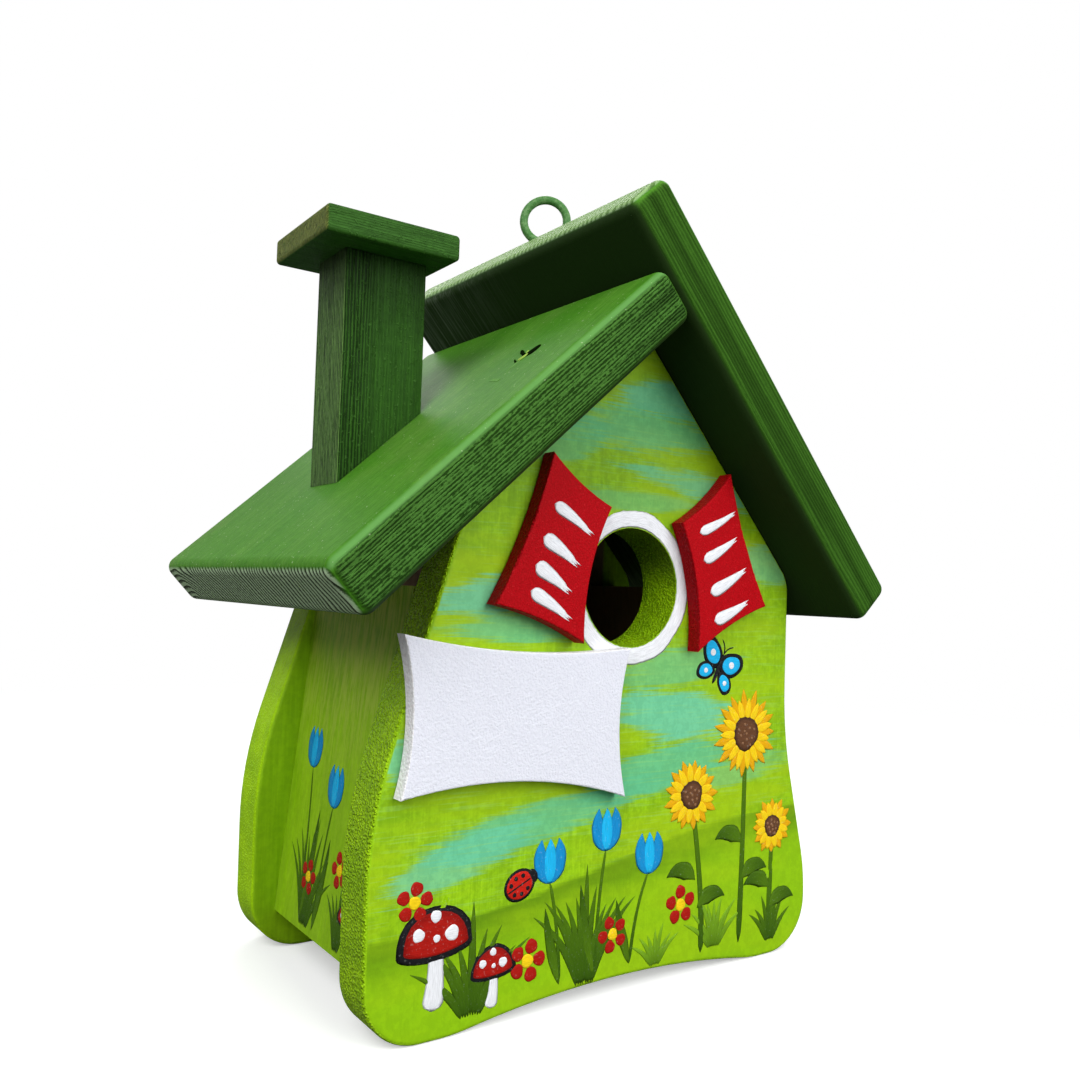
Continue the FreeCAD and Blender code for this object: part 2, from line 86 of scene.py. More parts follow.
def noise(tree, vector, scale, detail=2.0, rough=0.5, warp=0.0):
    """Cloudy noise from 0 to 1."""
    inputs = {"Vector": vector, "Scale": scale, "Detail": detail, "Roughness": rough,
              "Distortion": warp}
    return add(tree, "ShaderNodeTexNoise", inputs).outputs["Fac"]


def effect(name, inputs, outputs):
    """A new node group with number, vector or colour sockets: its tree, inputs and outputs."""
    tree = bpy.data.node_groups.new(name, "ShaderNodeTree")
    for label, kind in inputs.items():
        tree.interface.new_socket(label, in_out="INPUT", socket_type="NodeSocket" + kind)
    for label, kind in outputs.items():
        tree.interface.new_socket(label, in_out="OUTPUT", socket_type="NodeSocket" + kind)
    start = tree.nodes.new("NodeGroupInput")
    end = tree.nodes.new("NodeGroupOutput")
    return tree, start.outputs, end


def place_effect(tree, group, inputs):
    """Place an effect in a material and return its outputs."""
    made = tree.nodes.new("ShaderNodeGroup")
    made.node_tree = group
    for name, value in inputs.items():
        if isinstance(value, bpy.types.NodeSocket):
            tree.links.new(value, made.inputs[name])
        else:
            made.inputs[name].default_value = value
    return made.outputs


# Ribs left by a saw: waves across Y that wander slowly along X, broken up by torn fibres.
saw_ribs, given, result = effect(
    "saw_ribs", {"Vector": "Vector", "Pitch": "Float", "Torn": "Float"},
    {"Height": "Float", "Groove": "Float"})
drift = noise(saw_ribs, stretch(saw_ribs, given["Vector"], (14, 120, 40)), 1.0, 2.0)
across = add(saw_ribs, "ShaderNodeSeparateXYZ", {0: given["Vector"]}).outputs["Y"]
turns = calc(saw_ribs, "DIVIDE", across, given["Pitch"])
turns = calc(saw_ribs, "ADD", turns, calc(saw_ribs, "MULTIPLY", drift, 3.0))
wave = calc(saw_ribs, "SINE", calc(saw_ribs, "MULTIPLY", turns, math.tau))
fibre = noise(saw_ribs, stretch(saw_ribs, given["Vector"], (70, 3000, 900)), 1.0, 4.0, 0.68)
nick = noise(saw_ribs, stretch(saw_ribs, given["Vector"], (900, 1700, 900)), 1.0, 3.0, 0.6)
tear = calc(saw_ribs, "MULTIPLY", calc(saw_ribs, "SUBTRACT", nick, 0.5), given["Torn"])
height = calc(saw_ribs, "ADD", calc(saw_ribs, "MULTIPLY", wave, 0.13),
              calc(saw_ribs, "MULTIPLY", fibre, 0.9))
height = calc(saw_ribs, "ADD", calc(saw_ribs, "ADD", height, 0.15), tear)
saw_ribs.links.new(height, result.inputs["Height"])
saw_ribs.links.new(fade(saw_ribs, height, 0.66, 0.50), result.inputs["Groove"])

# Growth rings on sawn end grain: arcs about a pith well below the board, with pale wood between.
end_grain, given, result = effect(
    "end_grain", {"Vector": "Vector", "Pitch": "Float"}, {"Ring": "Float"})
spread = noise(end_grain, given["Vector"], 60.0, 1.0)
reach = add(end_grain, "ShaderNodeVectorMath", {0: given["Vector"]}, operation="LENGTH").outputs[1]
turns = calc(end_grain, "DIVIDE", reach, given["Pitch"])
turns = calc(end_grain, "ADD", turns, calc(end_grain, "MULTIPLY", spread, 3.0))
ring = calc(end_grain, "FRACT", turns)
scratch = noise(end_grain, stretch(end_grain, given["Vector"], (1500, 1500, 1500)), 1.0, 3.0, 0.7)
ring = calc(end_grain, "ADD", ring, calc(end_grain, "MULTIPLY", scratch, 0.8))
end_grain.links.new(fade(end_grain, ring, 0.75, 1.20), result.inputs["Ring"])

# Brush marks: long soft streaks along X and a few broad lighter passes.
brush_marks, given, result = effect(
    "brush_marks", {"Vector": "Vector"}, {"Streak": "Float", "Broad": "Float"})
streak = noise(brush_marks, stretch(brush_marks, given["Vector"], (60, 1500, 1500)), 1.0, 4.0, 0.6)
broad = noise(brush_marks, stretch(brush_marks, given["Vector"], (16, 70, 70)), 1.0, 3.0, 0.55)
brush_marks.links.new(streak, result.inputs["Streak"])
brush_marks.links.new(broad, result.inputs["Broad"])


def new_material(name):
    """An empty material: its tree, its shader, and its object co-ordinates and normal."""
    material = bpy.data.materials.new(name)
    material.use_nodes = True
    tree = material.node_tree
    shader = tree.nodes["Principled BSDF"]
    shader.inputs["Specular IOR Level"].default_value = 0.14
    places = tree.nodes.new("ShaderNodeTexCoord")
    return material, tree, shader, places.outputs["Object"], places.outputs["Normal"]


def bump(tree, shader, height, depth, strength=1.0):
    """Feed a height in whole units of depth (metres) to the shader's normal."""
    inputs = {"Height": height, "Distance": depth, "Strength": strength}
    made = add(tree, "ShaderNodeBump", inputs)
    tree.links.new(made.outputs["Normal"], shader.inputs["Normal"])


GREEN_DEEP = rgb(0.006, 0.024, 0.002)
GREEN_PAINTED_SHADE = rgb(0.016, 0.036, 0.008)
GREEN_SAWN = rgb(0.052, 0.165, 0.018)
GREEN_FACE = rgb(0.050, 0.200, 0.010)
GREEN_BLOOM = rgb(0.120, 0.300, 0.036)
GREEN_END = rgb(0.420, 0.570, 0.350)


def mottle(tree, spot, colour, share=0.35):
    """Fine uneven cover in a brushed coat."""
    speck = noise(tree, spot, 520.0, 4.0, 0.68)
    return tint(tree, fade(tree, speck, 0.40, 0.62, share, 0.0), colour, rgb(0.55, 0.60, 0.50), "MULTIPLY")


def green_board(name, slope, rib_pitch, torn, depth, sawn_shade):
    """Green paint on a board that climbs at slope degrees: ribs, rings and brushed faces."""
    material, tree, shader, spot, normal = new_material(name)
    turn = (0, math.radians(slope), 0)
    local = stretch(tree, spot, (1, 1, 1), turn)
    facing = stretch(tree, normal, (1, 1, 1), turn, kind="VECTOR")
    facing = add(tree, "ShaderNodeSeparateXYZ", {0: facing}).outputs
    sawn = fade(tree, calc(tree, "ABSOLUTE", facing["Y"]), 0.72, 0.94)
    end = fade(tree, calc(tree, "ABSOLUTE", facing["X"]), 0.72, 0.94)

    marks = place_effect(tree, brush_marks, {"Vector": local})
    planed = tint(tree, fade(tree, marks["Streak"], 0.25, 0.8), GREEN_FACE, GREEN_BLOOM)
    planed = tint(tree, fade(tree, marks["Broad"], 0.3, 0.75, 0.75, 0.1), planed, GREEN_FACE)
    bald = fade(tree, noise(tree, spot, 28.0, 3.0), 0.56, 0.74, 0.0, 0.22)
    planed = tint(tree, bald, planed, rgb(0.190, 0.260, 0.085))
    planed = mottle(tree, spot, planed)
    on_edge = add(tree, "ShaderNodeSeparateXYZ", {0: local}).outputs
    # Faces that look down take a dark green of painted shade, with paler brush streaks that grow towards the back.
    back_streaks = calc(tree, "MULTIPLY", fade(tree, on_edge["Y"], -0.01, 0.06), fade(tree, marks["Streak"], 0.4, 0.7))
    underside_shade = tint(tree, back_streaks, GREEN_PAINTED_SHADE, rgb(0.085, 0.115, 0.075))
    planed = tint(tree, fade(tree, facing["Z"], -0.2, -0.8), planed, underside_shade)

    flat = add(tree, "ShaderNodeCombineXYZ", {0: on_edge["X"], 1: on_edge["Z"], 2: on_edge["Y"]})
    ribs = place_effect(tree, saw_ribs, {"Vector": flat.outputs[0], "Pitch": rib_pitch, "Torn": torn})
    edge = tint(tree, calc(tree, "MULTIPLY", ribs["Groove"], depth), sawn_shade, GREEN_DEEP)
    band = noise(tree, stretch(tree, flat.outputs[0], (6, 240, 0)), 1.0, 2.0)
    edge = tint(tree, fade(tree, band, 0.50, 0.64, 0.0, 0.7), edge, rgb(0.42, 0.42, 0.42), "MULTIPLY")
    # Painted highlight: a paler band along the rounded arrises between the top and the long sawn faces.
    rim = calc(tree, "MULTIPLY", fade(tree, calc(tree, "ABSOLUTE", facing["Y"]), 0.15, 0.6),
               fade(tree, facing["Z"], 0.2, 0.6))
    planed = tint(tree, calc(tree, "MULTIPLY", rim, 0.7), planed, rgb(0.125, 0.300, 0.085))
    colour = tint(tree, sawn, planed, edge)

    rings = add(tree, "ShaderNodeCombineXYZ", {0: on_edge["Y"], 1: on_edge["Z"]}).outputs[0]
    rings = stretch(tree, rings, (1, 1, 1), (0, 0, 0), (-0.056, -0.118, 0))
    rings = place_effect(tree, end_grain, {"Vector": rings, "Pitch": 0.0021})["Ring"]
    cut = tint(tree, rings, GREEN_END, rgb(0.030, 0.045, 0.022))
    crown = fade(tree, facing["X"], -0.72, -0.94) if slope < 0 else 0.0
    cut = tint(tree, crown, cut, tint(tree, rings, rgb(0.270, 0.430, 0.170), rgb(0.120, 0.230, 0.060)))
    colour = tint(tree, end, colour, cut)
    dust = fade(tree, noise(tree, spot, 1500.0, 0.0), 0.80, 0.84, 0.0, 0.7)
    dust = calc(tree, "MULTIPLY", dust, fade(tree, facing["Z"], 0.2, 0.8))
    colour = tint(tree, dust, colour, rgb(0.42, 0.52, 0.30))
    tree.links.new(colour, shader.inputs["Base Color"])
    tree.links.new(fade(tree, sawn, 0, 1, 0.5, 0.8), shader.inputs["Roughness"])

    shader.inputs["Specular IOR Level"].default_value = 0.025
    rough = calc(tree, "MULTIPLY", calc(tree, "MULTIPLY", sawn, ribs["Height"]), depth)
    rough = calc(tree, "ADD", rough, calc(tree, "MULTIPLY", end, calc(tree, "MULTIPLY", rings, -0.5)))
    rough = calc(tree, "ADD", rough, calc(tree, "MULTIPLY", marks["Streak"], 0.12))
    bump(tree, shader, rough, 0.0009)
    return material


def finish_with(material, *names):
    """Give CAD parts a material."""
    for name in names:
        slots = parts[name].material_slots
        for slot in slots:
            slot.material = material


finish_with(green_board("green_left_board", 42, 0.00082, 0.80, 0.85, rgb(0.070, 0.196, 0.032)),
            "left_roof_board")
finish_with(green_board("green_right_board", -48, 0.0011, 0.25, 0.5, rgb(0.043, 0.130, 0.013)),
            "right_roof_board")

# ---------------------------------------------------------------------------------------- chimney
# A square softwood post with its grain upright and a bevelled cap laid across it, both in the
# roof's green. A dowel and a countersunk screw, out of sight, hold them.


def green_block(name, along, pitch, front_shade, side_lit_colour):
    """Green paint on a small block whose grain runs along x or z."""
    material, tree, shader, spot, normal = new_material(name)
    turn = (0, math.radians(90), 0) if along == "z" else (0, 0, 0)
    local = stretch(tree, spot, (1, 1, 1), turn)
    marks = place_effect(tree, brush_marks, {"Vector": local})
    axes = add(tree, "ShaderNodeSeparateXYZ", {0: local}).outputs
    level = calc(tree, "ADD", axes["Y"], axes["Z"])
    flat = add(tree, "ShaderNodeCombineXYZ", {0: axes["X"], 1: level, 2: axes["Y"]})
    ribs = place_effect(tree, saw_ribs, {"Vector": flat.outputs[0], "Pitch": pitch, "Torn": 0.3})
    facing = add(tree, "ShaderNodeSeparateXYZ", {0: normal}).outputs
    sidelong = fade(tree, calc(tree, "ABSOLUTE", facing["X"]), 0.5, 0.9)
    place = add(tree, "ShaderNodeSeparateXYZ", {0: spot}).outputs
    torn = fade(tree, place["X"], -0.054, -0.061, 0.22, 0.90)
    lines = calc(tree, "MULTIPLY", ribs["Groove"], torn if along == "z" else 0.25)
    lines = calc(tree, "MAXIMUM", lines, calc(tree, "MULTIPLY", calc(tree, "MULTIPLY", sidelong, 0.85),
                                              ribs["Groove"]))
    pimple = fade(tree, noise(tree, spot, 1100.0, 1.0), 0.60, 0.72)
    colour = tint(tree, fade(tree, marks["Streak"], 0.3, 0.7, 0.0, 0.4), front_shade, GREEN_DEEP)
    # Painted light: the faces looking along X take a much paler green than the front, for the light that falls on
    # them from the side; on the cap these faces are end grain, paler in its own right too.
    colour = tint(tree, calc(tree, "MULTIPLY", sidelong, 0.8), colour, side_lit_colour)
    colour = tint(tree, lines, colour, GREEN_DEEP)
    colour = tint(tree, calc(tree, "MULTIPLY", pimple, 0.5), colour, rgb(0.070, 0.190, 0.034))
    colour = mottle(tree, spot, colour)
    # Painted shadow under the cap: the post darkens towards its top.
    cap_shadow = fade(tree, place["Z"], 0.166, 0.191, 0.0, 0.65) if along == "z" else 0.0
    colour = tint(tree, cap_shadow, colour, rgb(0.25, 0.25, 0.25), "MULTIPLY")
    tree.links.new(colour, shader.inputs["Base Color"])
    shader.inputs["Roughness"].default_value = 0.6
    shader.inputs["Specular IOR Level"].default_value = 0.08
    height = calc(tree, "ADD", calc(tree, "MULTIPLY", lines, -0.8),
                  calc(tree, "MULTIPLY", marks["Streak"], 0.25))
    height = calc(tree, "ADD", height, calc(tree, "MULTIPLY", pimple, 0.4))
    bump(tree, shader, height, 0.0006)
    return material


finish_with(green_block("green_post", "z", 0.0009, rgb(0.029, 0.104, 0.009), rgb(0.165, 0.320, 0.080)),
            "chimney_stack")
finish_with(green_block("green_cap", "x", 0.0006, rgb(0.046, 0.145, 0.020), rgb(0.310, 0.350, 0.085)),
            "chimney_cap")

# ------------------------------------------------------------------------------------ wall boards
# Front, back and side boards in lime green. Their broad faces are planed and brushed, and the
# band-sawn edges and the bore stay fuzzy, with the fibres standing up through the paint.

# Fuzz: round tufts of torn fibre with dark gaps between them.
saw_fuzz, given, result = effect(
    "saw_fuzz", {"Vector": "Vector", "Size": "Float"}, {"Height": "Float", "Gap": "Float"})
scale = calc(saw_fuzz, "DIVIDE", 1.0, given["Size"])
warp = noise(saw_fuzz, given["Vector"], 900.0, 2.0)
cells = add(saw_fuzz, "ShaderNodeTexVoronoi", {"Vector": given["Vector"], "Scale": scale},
            feature="F1")
tuft = calc(saw_fuzz, "ADD", cells.outputs["Distance"], calc(saw_fuzz, "MULTIPLY", warp, 0.9))
saw_fuzz.links.new(fade(saw_fuzz, tuft, 1.1, 0.45), result.inputs["Height"])
saw_fuzz.links.new(fade(saw_fuzz, tuft, 0.85, 1.3), result.inputs["Gap"])

LIME = rgb(0.255, 0.505, 0.003)
LIME_PALE = rgb(0.330, 0.610, 0.008)
OLIVE = rgb(0.150, 0.310, 0.002)
OLIVE_DEEP = rgb(0.060, 0.120, 0.001)
BARE = rgb(0.330, 0.230, 0.130)


def lime_paint(tree, spot, cut, gaps=0.6):
    """Colour and height of brushed lime paint, fuzzy where cut is 1."""
    upright = stretch(tree, spot, (1, 1, 1), (0, math.radians(90), 0))
    marks = place_effect(tree, brush_marks, {"Vector": upright})
    face = tint(tree, fade(tree, marks["Streak"], 0.3, 0.75), LIME, LIME_PALE)
    face = tint(tree, fade(tree, marks["Broad"], 0.35, 0.7, 0.35, 0.0), face, OLIVE)
    face = mottle(tree, spot, face, 0.25)
    fuzz = place_effect(tree, saw_fuzz, {"Vector": spot, "Size": 0.0007})
    patch = noise(tree, spot, 120.0, 2.0)
    sawn = tint(tree, fade(tree, patch, 0.35, 0.65), rgb(0.400, 0.720, 0.003), rgb(0.310, 0.590, 0.002))
    sawn = tint(tree, fade(tree, fuzz["Gap"], 0.0, 1.0, 0.0, gaps), sawn, OLIVE_DEEP)
    colour = tint(tree, cut, face, sawn)
    height = calc(tree, "MULTIPLY", marks["Streak"], 0.12)
    tufts = calc(tree, "MULTIPLY", fuzz["Height"], gaps / 0.6)
    height = calc(tree, "ADD", height, calc(tree, "MULTIPLY", cut, tufts))
    return colour, height


def wall_material(name, broad_axis, inside, gaps=0.6):
    """Lime paint on a board whose broad faces look along one axis."""
    material, tree, shader, spot, normal = new_material(name)
    facing = add(tree, "ShaderNodeSeparateXYZ", {0: normal}).outputs
    cut = fade(tree, calc(tree, "ABSOLUTE", facing[broad_axis]), 0.93, 0.6)
    colour, height = lime_paint(tree, spot, cut, gaps)
    if broad_axis == "X":
        grain = noise(tree, stretch(tree, spot, (900, 900, 30)), 1.0, 3.0, 0.65)
        high = add(tree, "ShaderNodeSeparateXYZ", {0: spot}).outputs["Z"]
        grey = calc(tree, "MULTIPLY", fade(tree, high, 0.045, 0.100, 0.08, 0.9), fade(tree, grain, 0.40, 0.60))
        colour = tint(tree, grey, colour, rgb(0.450, 0.580, 0.070))
    grain = noise(tree, stretch(tree, spot, (700, 700, 18)), 1.0, 3.0)
    timber = tint(tree, grain, BARE, rgb(0.190, 0.125, 0.065))
    colour = tint(tree, inside(tree, spot, facing), colour, timber)
    tree.links.new(colour, shader.inputs["Base Color"])
    shader.inputs["Roughness"].default_value = 0.55
    bump(tree, shader, height, 0.0007)
    return material


def between(tree, value, low, high, soft=0.0015):
    """1 between low and high, fading out over soft."""
    rise = fade(tree, value, low - soft, low)
    fall = fade(tree, value, high, high + soft, 1.0, 0.0)
    return calc(tree, "MULTIPLY", rise, fall)


def cavity_side(tree, spot, facing):
    """The unpainted inside of the front and back boards, between the side boards."""
    place = add(tree, "ShaderNodeSeparateXYZ", {0: spot}).outputs
    within = between(tree, place["X"], -0.045, 0.054)
    deep = between(tree, place["Y"], -0.0297, 0.0327, 0.0004)
    inward = fade(tree, calc(tree, "ABSOLUTE", facing["Y"]), 0.8, 0.95)
    above = fade(tree, place["Z"], 0.012, 0.014)
    return calc(tree, "MULTIPLY", calc(tree, "MULTIPLY", within, deep),
                calc(tree, "MULTIPLY", inward, above))


def left_inside(tree, spot, facing):
    return fade(tree, facing["X"], 0.3, 0.6)


def right_inside(tree, spot, facing):
    return fade(tree, facing["X"], -0.3, -0.6)


finish_with(wall_material("lime_back_board", "Y", cavity_side, 0.15), "back_wall")
finish_with(wall_material("lime_left_side", "X", left_inside), "left_side_wall")
finish_with(wall_material("lime_right_side", "X", right_inside), "right_side_wall")

# ------------------------------------------------------------------------------- painted front
# The front board carries a brushed landscape: turquoise and yellow-green passes for the sky over
# a darker hill, laid wet in wet across the lime ground.

AXIS_X = 0.0056385
FRONT_Y = -0.04325
TURQUOISE = rgb(0.115, 0.500, 0.250)
AQUA = rgb(0.130, 0.560, 0.370)
YELLOW_GREEN = rgb(0.320, 0.520, 0.004)
HILL = rgb(0.110, 0.250, 0.002)

# One pass of a flat brush: a long soft ellipse with a ragged edge.
brush_pass, given, result = effect(
    "brush_pass",
    {"Vector": "Vector", "X": "Float", "Z": "Float", "Long": "Float", "High": "Float",
     "Tilt": "Float", "Ragged": "Float"},
    {"Cover": "Float"})
centre = add(brush_pass, "ShaderNodeCombineXYZ", {0: given["X"], 2: given["Z"]}).outputs[0]
offset = add(brush_pass, "ShaderNodeVectorMath", {0: given["Vector"], 1: centre},
             operation="SUBTRACT").outputs[0]
turned = add(brush_pass, "ShaderNodeVectorRotate", {"Vector": offset, "Angle": given["Tilt"]},
             rotation_type="Y_AXIS").outputs[0]
axes = add(brush_pass, "ShaderNodeSeparateXYZ", {0: turned}).outputs
length = calc(brush_pass, "POWER", calc(brush_pass, "DIVIDE", axes["X"], given["Long"]), 2.0)
width = calc(brush_pass, "POWER", calc(brush_pass, "DIVIDE", axes["Z"], given["High"]), 2.0)
reach = calc(brush_pass, "SQRT", calc(brush_pass, "ADD", length, width))
reach = calc(brush_pass, "ADD", reach, given["Ragged"])
brush_pass.links.new(fade(brush_pass, reach, 1.25, 0.7), result.inputs["Cover"])

# Sky passes: x and z of the middle from the entrance's axis and the ground, half length, half
# height (all in mm), tilt in degrees, and how strongly the colour covers.
SKY_PASSES = [
    (12, 160, 17, 4.5, 4, 0.75, AQUA),
    (6, 149, 26, 5.5, -3, 0.70, TURQUOISE),
    (24, 137, 24, 4.0, -6, 0.65, AQUA),
    (-22, 146, 12, 5.0, 12, 0.55, TURQUOISE),
    (4, 131, 22, 3.0, 2, 0.45, TURQUOISE),
    (52, 116, 14, 5.0, -14, 0.45, AQUA),
    (-46, 104, 16, 5.0, 6, 0.75, AQUA),
    (-38, 97, 22, 4.0, 2, 0.70, TURQUOISE),
    (18, 86, 22, 5.0, 4, 0.60, TURQUOISE),
    (20, 72, 22, 6.5, -4, 0.80, AQUA),
    (12, 58, 30, 5.0, 8, 0.85, TURQUOISE),
    (-26, 49, 30, 4.5, 10, 0.80, TURQUOISE),
    (-52, 41, 18, 4.0, 16, 0.60, AQUA),
    (-66, 66, 5, 5.0, 60, 0.60, AQUA),
    (40, 55, 20, 4.0, 5, 0.45, TURQUOISE),
]

material, tree, shader, spot, normal = new_material("painted_front_board")
facing = add(tree, "ShaderNodeSeparateXYZ", {0: normal}).outputs
cut = fade(tree, calc(tree, "ABSOLUTE", facing["Y"]), 0.93, 0.6)
colour, height = lime_paint(tree, spot, cut)
long_marks = place_effect(tree, brush_marks, {"Vector": spot})
ragged = calc(tree, "MULTIPLY", calc(tree, "SUBTRACT", long_marks["Broad"], 0.5), 2.6)
ragged = calc(tree, "ADD", ragged,
              calc(tree, "MULTIPLY", calc(tree, "SUBTRACT", long_marks["Streak"], 0.5), 2.0))
sky = tint(tree, fade(tree, long_marks["Broad"], 0.42, 0.62), colour, YELLOW_GREEN)
for x, z, half_long, half_high, tilt, strength, shade in SKY_PASSES:
    cover = place_effect(tree, brush_pass, {
        "Vector": spot, "X": AXIS_X + x / 1000, "Z": z / 1000, "Long": half_long / 1000,
        "High": half_high / 1000, "Tilt": math.radians(tilt), "Ragged": ragged})["Cover"]
    sky = tint(tree, calc(tree, "MULTIPLY", cover, strength), sky, shade)
place = add(tree, "ShaderNodeSeparateXYZ", {0: spot}).outputs
sky = tint(tree, fade(tree, long_marks["Streak"], 0.52, 0.66, 0.0, 0.22), sky, rgb(0.300, 0.620, 0.160))
# Painted shadow of the roof: the sky passes darken towards the gable.
roof_shadow = fade(tree, place["Z"], 0.112, 0.140, 0.0, 0.36)
sky = tint(tree, roof_shadow, sky, tint(tree, 1.0, sky, rgb(0.10, 0.22, 0.06), "MULTIPLY"))
crest = calc(tree, "MULTIPLY", calc(tree, "SINE", calc(tree, "MULTIPLY", place["X"], 21.0)), 0.009)
crest = calc(tree, "ADD", crest, 0.0345)
crest = calc(tree, "ADD", crest, calc(tree, "MULTIPLY", ragged, 0.0016))
below = calc(tree, "SUBTRACT", crest, place["Z"])
ground = tint(tree, fade(tree, below, 0.0, 0.014), HILL, LIME)
ground = tint(tree, fade(tree, long_marks["Broad"], 0.4, 0.65, 0.0, 0.5), ground, YELLOW_GREEN)
scene_colour = tint(tree, fade(tree, below, -0.0006, 0.0012), sky, ground)
scene_colour = mottle(tree, spot, scene_colour, 0.24)
# Painted shade in the top of the bore: its cut faces there turn near black.
bore_shade = calc(tree, "MULTIPLY", between(tree, place["X"], AXIS_X - 0.0162, AXIS_X + 0.0162, 0.0005),
                between(tree, place["Z"], 0.116, 0.125, 0.010))
bore_shade = calc(tree, "MULTIPLY", bore_shade, calc(tree, "MULTIPLY", cut, 0.7))
colour = tint(tree, bore_shade, colour, rgb(0.020, 0.045, 0.001))
front_face = fade(tree, facing["Y"], -0.9, -0.97)
colour = tint(tree, front_face, colour, scene_colour)
bare = cavity_side(tree, spot, facing)
inner_face = fade(tree, facing["Y"], 0.8, 0.95)
colour = tint(tree, calc(tree, "MULTIPLY", bare, inner_face), colour, BARE)
tree.links.new(colour, shader.inputs["Base Color"])
shader.inputs["Roughness"].default_value = 0.5
bump(tree, shader, height, 0.0007)
finish_with(material, "front_wall")

# ---------------------------------------------------------------------------------------- floor
# An unpainted softwood board that drops about its front edge for cleaning, on two bright nails.

material, tree, shader, spot, normal = new_material("bare_board")
lengthwise = noise(tree, stretch(tree, spot, (18, 700, 700)), 1.0, 3.0)
patch = noise(tree, spot, 40.0, 2.0)
colour = tint(tree, lengthwise, BARE, rgb(0.280, 0.185, 0.100))
colour = tint(tree, fade(tree, patch, 0.5, 0.7, 0.0, 0.4), colour, rgb(0.520, 0.400, 0.260))
tree.links.new(colour, shader.inputs["Base Color"])
shader.inputs["Roughness"].default_value = 0.75
bump(tree, shader, lengthwise, 0.0003)
finish_with(material, "drop_floor", "chimney_dowel")

material, tree, shader, spot, normal = new_material("bright_steel")
scuff = noise(tree, spot, 1400.0, 3.0, 0.6)
tree.links.new(tint(tree, scuff, rgb(0.62, 0.61, 0.58), rgb(0.40, 0.39, 0.37)),
               shader.inputs["Base Color"])
tree.links.new(fade(tree, scuff, 0.3, 0.7, 0.28, 0.5), shader.inputs["Roughness"])
shader.inputs["Metallic"].default_value = 1.0
finish_with(material, "floor_pivot_nails", "chimney_screw")

# --------------------------------------------------------------------------------------- shutters
# Two thin plates sawn with hollow sides, dipped in red paint with a fine glitter of light grains,
# and glued either side of the entrance.

material, tree, shader, spot, normal = new_material("red_plate")
facing = add(tree, "ShaderNodeSeparateXYZ", {0: normal}).outputs
cut = fade(tree, calc(tree, "ABSOLUTE", facing["Y"]), 0.93, 0.6)
fuzz = place_effect(tree, saw_fuzz, {"Vector": spot, "Size": 0.0008})
grain = noise(tree, spot, 2300.0, 2.0, 0.6)
colour = tint(tree, fade(tree, grain, 0.35, 0.65), rgb(0.340, 0.0008, 0.003), rgb(0.440, 0.001, 0.006))
colour = tint(tree, fade(tree, grain, 0.66, 0.74, 0.0, 0.30), colour, rgb(0.660, 0.100, 0.080))
colour = tint(tree, calc(tree, "MULTIPLY", cut, fade(tree, fuzz["Gap"], 0, 1, 0.25, 0.5)), colour,
              rgb(0.130, 0.001, 0.003))
tree.links.new(colour, shader.inputs["Base Color"])
shader.inputs["Roughness"].default_value = 0.5
shader.inputs["Specular IOR Level"].default_value = 0.06
height = calc(tree, "ADD", calc(tree, "MULTIPLY", grain, 0.5),
              calc(tree, "MULTIPLY", cut, calc(tree, "MULTIPLY", fuzz["Height"], 0.5)))
bump(tree, shader, height, 0.0004)
finish_with(material, "left_shutter", "right_shutter")

# ------------------------------------------------------------------------------------------- sign
# A thin plate with hollow sides in plain white paint, left bare, its sawn rim scuffed and rough.

material, tree, shader, spot, normal = new_material("white_plate")
facing = add(tree, "ShaderNodeSeparateXYZ", {0: normal}).outputs
cut = fade(tree, calc(tree, "ABSOLUTE", facing["Y"]), 0.93, 0.6)
grain = noise(tree, spot, 1700.0, 3.0, 0.6)
fuzz = place_effect(tree, saw_fuzz, {"Vector": spot, "Size": 0.0008})
colour = tint(tree, fade(tree, grain, 0.3, 0.7), rgb(0.690, 0.705, 0.785), rgb(0.735, 0.750, 0.825))
colour = tint(tree, cut, colour, rgb(0.960, 0.960, 0.980))
worn = calc(tree, "MULTIPLY", cut, fade(tree, fuzz["Gap"], 0.2, 1.0, 0.0, 0.35))
colour = tint(tree, worn, colour, rgb(0.520, 0.460, 0.450))
tree.links.new(colour, shader.inputs["Base Color"])
shader.inputs["Roughness"].default_value = 0.6
height = calc(tree, "ADD", calc(tree, "MULTIPLY", grain, 0.6),
              calc(tree, "MULTIPLY", cut, calc(tree, "MULTIPLY", fuzz["Height"], 0.4)))
bump(tree, shader, height, 0.0005)
finish_with(material, "sign_board")

# ------------------------------------------------------------------------------------ hanging eye
# A steel wire eye with a screw shank, brushed over with the roof's green.

material, tree, shader, spot, normal = new_material("green_wire")
chip = noise(tree, spot, 900.0, 3.0, 0.6)
tree.links.new(tint(tree, fade(tree, chip, 0.4, 0.65), rgb(0.055, 0.170, 0.040), rgb(0.120, 0.250, 0.085)),
               shader.inputs["Base Color"])
shader.inputs["Roughness"].default_value = 0.38
bump(tree, shader, chip, 0.00015)
finish_with(material, "hanging_eye")

# ---------------------------------------------------------------------------------------- staples
# Wire staples shot flush and painted over with the boards they hold.


def painted_over(name, shade, shine):
    material, tree, shader, spot, normal = new_material(name)
    chip = noise(tree, spot, 1600.0, 3.0, 0.7)
    tree.links.new(tint(tree, fade(tree, chip, 0.55, 0.75), shade, shine), shader.inputs["Base Color"])
    shader.inputs["Roughness"].default_value = 0.5
    shader.inputs["Specular IOR Level"].default_value = 0.025
    bump(tree, shader, chip, 0.00015)
    return material


finish_with(painted_over("lime_over_wire", LIME, rgb(0.30, 0.34, 0.20)),
            "front_wall_staples", "back_wall_staples")
finish_with(painted_over("green_over_wire", rgb(0.085, 0.250, 0.028), rgb(0.060, 0.150, 0.030)),
            "left_roof_staples", "right_roof_staples", "ridge_staples")

# ------------------------------------------------------------------------------------- brushwork
# Every stroke is a thin pad of paint with a crowned top that sinks into the board at its rim, in
# its own colour, with bristle marks along it.


